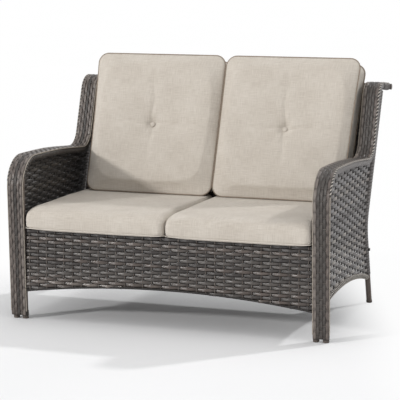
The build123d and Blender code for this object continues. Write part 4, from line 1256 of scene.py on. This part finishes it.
def in_linen(piece, name):
    """Name a cushion and give it its fabric."""
    piece.name = piece.data.name = name
    piece.data.materials.clear()
    piece.data.materials.append(oatmeal)


# %% [markdown]
# ## Seat cushions
#
# The seat cushions are thick slabs with a soft rolled front edge, almost flat on top and flat below where
# they rest on the deck. A thin seam runs just above the bottom edge.

# %% Seat cushions
seat_width, seat_depth, seat_thickness = 0.567, 0.620, 0.0817
seat_overhang, seat_split, seat_fill_out = 0.038, 0.003, 0.0014
seat_low = seat_height + 0.0003
seam_rise, seam_width, seam_depth, seam_reach = 0.0070, 0.0020, 0.0015, 0.030
front_roll = [(0.0, 0.006), (0.04, 0.001), (0.12, 0.0), (0.30, -0.001), (0.50, 0.0), (0.62, 0.0020),
              (0.72, 0.006),
              (0.80, 0.012), (0.87, 0.021), (0.92, 0.032), (0.96, 0.049), (0.985, 0.074), (1.0, 0.114),
              (1.012, 0.166), (1.02, 0.21)]
side_roll = [0.004, 0.0005, 0.0, -0.001, -0.001, 0.0, 0.001, 0.003, 0.006, 0.011, 0.018, 0.030, 0.056, 0.100,
             0.15]
seat_corner = 0.024
welt_cloth = cord_material("welt_cord", screen(206, 197, 186), screen(226, 219, 209), 0.9)


def seat_outline(half, front, rear, extra, side_extra, corner):
    """One level of a seat cushion, whose front rolls over more than its sides."""
    return outline_points(half - side_extra, front + extra, rear - side_extra, corner,
                          (0.0, 0.0015, 0.0, 0.0015))


def seat_cushion(name, side, seed):
    """One seat cushion, from its stack to its finished mesh."""
    half = (seat_width + seat_fill_out) / 2
    centre_x = side * (seat_split / 2 + half)
    start_y = front_y - seat_overhang
    ease, room = 0.001, 0.005
    rings = []
    for (share, extra), side_extra in zip(front_roll, side_roll):
        height = room + share * (seat_thickness - 2 * room)
        corner = seat_corner - ease + max(side_extra, 0) * 0.5
        rings.append((height, seat_outline(half - ease, ease, seat_depth - ease, extra, side_extra, corner)))
    mesh = stack(rings, lambda x, y, z: (centre_x + x, start_y + y, seat_low + z))
    piece = puffed(mesh, 0.0065, 4.0, 0.012, (0, 0, 1), soften=3)
    points = coordinates(piece.data)
    rng = np.random.default_rng(seed)
    local_x, local_y = points[:, 0] - centre_x, points[:, 1] - start_y
    up = (points[:, 2] - seat_low) / seat_thickness
    wander = 0.0018 * np.sin(local_x * 17 + rng.uniform(0, 6)) * np.sin(local_y * 13 + rng.uniform(0, 6))
    points[:, 2] += wander * np.clip(up, 0, 1) ** 2
    seam = seat_low + seam_rise
    near_seam = np.exp(-((points[:, 2] - seam) / seam_width) ** 2)
    inward = np.stack([-np.sign(local_x) * (np.abs(local_x) > half - seam_reach),
                       (local_y < seam_reach).astype(float) - (local_y > seat_depth - seam_reach)], 1)
    inward /= np.maximum(np.linalg.norm(inward, axis=1, keepdims=True), 1)
    points[:, :2] += inward * (near_seam * seam_depth)[:, None]
    points[:, 0] = np.clip(points[:, 0], centre_x - half, centre_x + half)
    points[:, 1] = np.clip(points[:, 1], start_y - 0.004, start_y + seat_depth)
    crown = 0.0060 - 0.0055 * np.clip((local_y - 0.36) / 0.10, 0, 1)
    points[:, 2] = np.clip(points[:, 2], seat_low + 0.0002, seat_low + seat_thickness + crown)
    set_coordinates(piece.data, points)
    cloth_map(piece)
    in_linen(piece, f"{name}_seat_cushion_linen")
    dress(piece, f"{name}_seat_cushion", "cushion_cover", f"{name}_seat_cushion_cover",
          f"{name}_seat_cushion_core")
    loop = [(centre_x + x, start_y + y, seam) for x, y in
            seat_outline(half - 0.0008, 0.0008, seat_depth - 0.0008, 0.0, 0.0, seat_corner)]
    dress(skinned(f"{name}_seat_cushion_welt", loop, 0.0011, 4, 0.0001, welt_cloth, 10, closed=True),
          f"{name}_seat_cushion", "piping")


for name, side in sides.items():
    seat_cushion(name, side, side_seeds[name])

# %% [markdown]
# ## Back cushions
#
# Each back cushion stands on the seat cushion and leans on the woven back. Two seams with taupe piping join
# its crowned faces to the boxing between them. One button is pulled through the middle, so the front face
# sinks towards it and soft creases run from it, up, down and to the sides. The tuft could come from the
# simulation too, but a formula puts it exactly where the button sits. Each face of the tuft has its own
# depth, and each crease its direction in degrees, reach and depth.

# %% Back cushions
back_width, back_tall, back_split = 0.560, 0.572, 0.004
back_foot = (0.49636, 0.4426)
boxing, front_crown, rear_crown = 0.088, 0.024, 0.033
cover_half, cover_shift, head_room, foot_room = 0.2785, 0.0035, 0.008, 0.0025
cover_place = cover_half + 0.0042
cover_top, welt_r, cover_corner = back_tall + head_room, 0.0027, 0.042
tuft_up = back_tall * 0.49
foot_narrowing = 0.019
front_tuft, rear_tuft = (1, front_crown, 0.024), (-1, -boxing - rear_crown, 0.010)
tuft_creases = [(92, 0.17, 0.0048), (270, 0.12, 0.0036), (3, 0.15, 0.0036), (178, 0.15, 0.0036),
                (48, 0.07, 0.0016), (133, 0.07, 0.0016), (228, 0.06, 0.0014), (311, 0.06, 0.0014)]
crown_profile = [(0.0, 0.0), (0.22, 0.003), (0.40, 0.0095), (0.58, 0.020), (0.74, 0.034), (0.85, 0.052),
                 (0.93, 0.0745), (0.975, 0.098), (1.0, 0.128), (1.03, 0.168), (1.04, 0.21)]
piping_cloth = cord_material("taupe_piping", screen(118, 105, 92), screen(150, 137, 123), 0.85)


def back_frame(side):
    """The matrix from a back cushion's own measures, across, up its lean and forwards, to the row frame."""
    origin = Vector((side * cover_place + cover_shift, front_y + back_foot[0], back_foot[1]))
    across, up, forward = Vector((1, 0, 0)), Vector((0, sin(lean), cos(lean))), Vector((0, -cos(lean),
                                                                                        sin(lean)))
    return Matrix.Translation(origin) @ Matrix((across, up, forward)).transposed().to_4x4()


def seam_low(height):
    """Lower edge of the cover at a height before its front seam, level with the seat."""
    return -height * tan(lean) - foot_room


def narrowed(x, up, side):
    """Place across a cover whose outer side draws in towards the foot."""
    return x * (1 - foot_narrowing / cover_half * (1 - (up / cover_top) ** 2) * (x * side > 0))


def to_seam(own, seam, width):
    """Draw the points near a seam out to its outline, so that the cover meets the piping."""
    low, high = seam_low(seam), cover_top
    half = np.array([cover_half, (high - low) / 2]) - cover_corner
    rel = own[:, :2] - np.array([0.0, (low + high) / 2])
    beyond = np.abs(rel) - half
    corner_part = np.maximum(beyond, 0)
    far = np.linalg.norm(corner_part, axis=1)
    off = far + np.minimum(beyond.max(axis=1), 0) - cover_corner
    flat_way = (beyond == beyond.max(axis=1, keepdims=True)).astype(float)
    way = np.where(far[:, None] > 1e-6, corner_part / np.maximum(far, 1e-6)[:, None], flat_way) * np.sign(rel)
    share = np.exp(-((own[:, 2] - seam) / width) ** 2) * np.clip((off + 0.030) / 0.012, 0, 1)
    own[:, :2] += way * (-off * share)[:, None]


def back_cushion(name, side, seed):
    """One back cushion, from its stack to its finished mesh."""
    to_row = back_frame(side)
    to_own = to_row.inverted()
    ease, room = 0.001, 0.008
    rings = []
    heights = [(-boxing - share * (rear_crown - room), extra, 0) for share, extra in reversed(crown_profile)]
    heights += [(-boxing * share, 0.0, 0.003 * sin(pi * share)) for share in (0.75, 0.5, 0.25)]
    heights += [(share * (front_crown - room), extra, 0) for share, extra in crown_profile]
    for height, extra, draw in heights:
        rings.append((height, outline_points(
            cover_half - ease - extra - draw, seam_low(height) + ease + extra,
            cover_top - ease - extra - draw,
            cover_corner - ease * 0.5 + extra * 0.4, (0.0, 0.001, 0.001, 0.001))))
    mesh = stack(rings, lambda x, y, z: to_row @ Vector((x, y, z)))
    piece = puffed(mesh, 0.007, 5.0, 0.016, tuple(to_row.col[2][:3]), soften=4)
    turn = np.array(to_own)[:3, :3]
    points = coordinates(piece.data)
    own = points @ turn.T + np.array(to_own.translation)
    x, y, z = own[:, 0].copy(), own[:, 1] - tuft_up, own[:, 2].copy()
    rng = np.random.default_rng(seed)
    for facing, face_z, depth in (front_tuft, rear_tuft):
        on_face = np.clip((z * facing - (face_z * facing - 0.03)) / 0.02, 0, 1)
        far = np.hypot(x, y)
        hollow = depth * (0.50 * np.exp(-(far / 0.022) ** 2) + 0.50 * np.exp(-(far / 0.085) ** 1.3))
        creases = np.zeros(len(x))
        for direction, reach, deep in tuft_creases:
            angle = radians(direction + rng.uniform(-3, 3))
            ahead = x * cos(angle) + y * sin(angle)
            aside = -x * sin(angle) + y * cos(angle) + 0.004 * np.sin(ahead * 40 + seed)
            width = 0.006 + 0.05 * np.clip(ahead, 0, 1)
            fading = np.clip(ahead / 0.012, 0, 1) * np.exp(-(ahead / reach) ** 2)
            creases += deep * np.exp(-(aside / width) ** 2) * fading
        own[:, 2] -= facing * on_face * (hollow + creases)
    wander = 0.0018 * np.sin(x * 15 + rng.uniform(0, 6)) * np.sin(y * 12 + rng.uniform(0, 6))
    own[:, 2] += wander * np.clip(z / front_crown, 0, 1)
    own[:, 0] = np.clip(own[:, 0], -cover_half, cover_half)
    own[:, 1] = np.minimum(own[:, 1], cover_top + 0.002)
    to_seam(own, 0.0, 0.0065)
    to_seam(own, -boxing, 0.0065)
    own[:, 2] = np.maximum(own[:, 2], -boxing - rear_crown)
    own[:, 0] = narrowed(own[:, 0], np.clip(own[:, 1], 0, cover_top), side)
    own = own @ np.linalg.inv(turn).T + np.array(to_row.translation)
    own[:, 2] = np.maximum(own[:, 2], back_foot[1] - foot_room - 0.001)
    set_coordinates(piece.data, own)
    cloth_map(piece, to_own)
    in_linen(piece, f"{name}_back_cushion_linen")
    dress(piece, f"{name}_back_cushion", "cushion_cover", f"{name}_back_cushion_cover",
          f"{name}_back_cushion_core")
    for label, seam in (("front", 0.0), ("rear", -boxing)):
        loop = [to_row @ Vector((narrowed(px, min(max(py, 0), cover_top), side), py, seam)) for px, py in
                outline_points(cover_half + 0.0012, seam_low(seam) - 0.0002, cover_top + 0.0012,
                               cover_corner + 0.0012, (0.0, 0.0, 0.0, 0.0))]
        dress(skinned(f"{name}_back_cushion_{label}_welt", loop, welt_r, 4, 0.0002, piping_cloth, 14,
                      closed=True),
              f"{name}_back_cushion", "piping", f"{name}_back_cushion_{label}_piping")


for name, side in sides.items():
    back_cushion(name, side, side_seeds[name] + 5)

# %% [markdown]
# ## Tuft buttons
#
# A tuft button is a small dome covered in the same fabric, with a rolled rim. Each one is turned on a
# lathe in code from a short profile, and two of them, front and rear, make one piece that stands for the
# frame's plain pair.

# %% Tuft buttons
button_profile = [(0.0, 0.0), (0.0070, 0.0), (0.0097, 0.0008), (0.0106, 0.0024), (0.0101, 0.0042),
                  (0.0082, 0.0058), (0.0050, 0.0069), (0.0, 0.0073)]
button_sides = 32


def buttons(name, side):
    """The front and the rear button of a back cushion."""
    to_row = back_frame(side)
    made = bmesh.new()
    for base, facing in ((front_crown - 0.0170 + 0.0003, 1), (-boxing - rear_crown + 0.010 - 0.0003, -1)):
        loops = []
        for radius, height in button_profile:
            if radius == 0.0:
                loops.append([made.verts.new(to_row @ Vector((0, tuft_up, base + facing * height)))])
                continue
            turns = [2 * pi * n / button_sides for n in range(button_sides)]
            puckers = [radius * (1 + 0.02 * cos(5 * turn)) for turn in turns]
            loops.append([made.verts.new(to_row @ Vector((reach * cos(turn), tuft_up + reach * sin(turn),
                                                          base + facing * height)))
                          for turn, reach in zip(turns, puckers)])
        for lower, upper in zip(loops, loops[1:]):
            for n in range(button_sides):
                corners = [lower[n % len(lower)], lower[(n + 1) % len(lower)], upper[(n + 1) % len(upper)],
                           upper[n % len(upper)]]
                made.faces.new(list(dict.fromkeys(corners)))
    bmesh.ops.recalc_face_normals(made, faces=made.faces)
    mesh = bpy.data.meshes.new("buttons")
    made.to_mesh(mesh)
    made.free()
    piece = scratch(mesh)
    cloth_map(piece, to_row.inverted())
    in_linen(piece, f"{name}_back_cushion_covered_buttons")
    return dress(piece, f"{name}_back_cushion", "cushion_cover", f"{name}_back_cushion_buttons")


for name, side in sides.items():
    buttons(name, side)

# %% [markdown]
# ## Finishes of the frame's own pieces
#
# The frame's other solids already have their true shape, so they only need a finish. Most of them are
# steel tube with a dark brown powder coat, which has a fine orange peel and a little dust; the bolts are
# black zinc, the caps are moulded plastic, and the zips and twine are textile.

# %% Materials of the frame's own pieces
def flecked(name, dark, light, roughness, scale, depth, metallic=0.0, stretch=(1, 1, 1)):
    """A finish with a fine fleck and relief on object coordinates."""
    material, tree, shader = finish_of(name, roughness, Metallic=metallic)
    place = put(tree, "ShaderNodeTexCoord").outputs["Object"]
    spread = put(tree, "ShaderNodeMapping", {"Vector": place, "Scale": stretch}).outputs[0]
    fleck = put(tree, "ShaderNodeTexNoise", {"Vector": spread, "Scale": scale, "Detail": 4.0}).outputs[0]
    patch = put(tree, "ShaderNodeTexNoise", {"Vector": place, "Scale": 14.0, "Detail": 2.0}).outputs[0]
    mask = reckon(tree, "MULTIPLY_ADD", reckon(tree, "SUBTRACT", patch, 0.5), 0.5, fleck)
    tree.links.new(ramp(tree, mask, (0.3, dark), (0.7, light)), shader.inputs["Base Color"])
    tree.links.new(put(tree, "ShaderNodeMapRange", {0: mask, 3: roughness - 0.07,
                                                    4: roughness + 0.09}).outputs[0],
                   shader.inputs["Roughness"])
    tree.links.new(relief(tree, fleck, depth), shader.inputs["Normal"])
    return material


powder_coat = flecked("brown_powder_coat", screen(52, 46, 42), screen(74, 66, 61), 0.5, 900.0, 0.0002)
rail_resin = flecked("rail_resin", screen(66, 58, 53), screen(112, 101, 92), 0.45, 260.0, 0.0004,
                     stretch=(0.06, 1, 1))
cap_plastic = flecked("cap_plastic", screen(60, 52, 48), screen(88, 78, 71), 0.5, 420.0, 0.0002)
zinc = flecked("black_zinc", screen(46, 44, 43), screen(70, 68, 66), 0.4, 700.0, 0.0001, metallic=0.6)
zip_tape = flecked("zip_tape", screen(160, 146, 128), screen(186, 172, 154), 0.7, 1200.0, 0.0003)
twine_wax = flecked("waxed_twine", screen(178, 164, 144), screen(208, 196, 178), 0.6, 1800.0, 0.0003)

finishes = {
    powder_coat: ["arm_rungs", "arm_seat_rail", "side_bottom_rail", "back_bottom_rail", "back_stays",
                  "back_rail_spigots",
                  "seat_front_rail", "seat_rear_rail", "seat_side_bars", "seat_cross_bars",
                  "apron_bottom_rail", "apron_stays"],
    rail_resin: ["arm_end_rail", "back_top_rail"],
    cap_plastic: ["foot_caps", "arm_end_plugs"],
    zinc: ["bolts", "washers", "nuts", "inserts"],
    zip_tape: ["zip"],
    twine_wax: ["twine"],
}
painted = 0
for node_name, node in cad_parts.items():
    if node.hide_render:
        continue
    for material, endings in finishes.items():
        if any(node_name.endswith(ending) for ending in endings):
            node.data.materials.clear()
            node.data.materials.append(material)
            painted += 1
            break
    else:
        print("no finish for", node_name)
print("frame pieces painted:", painted)
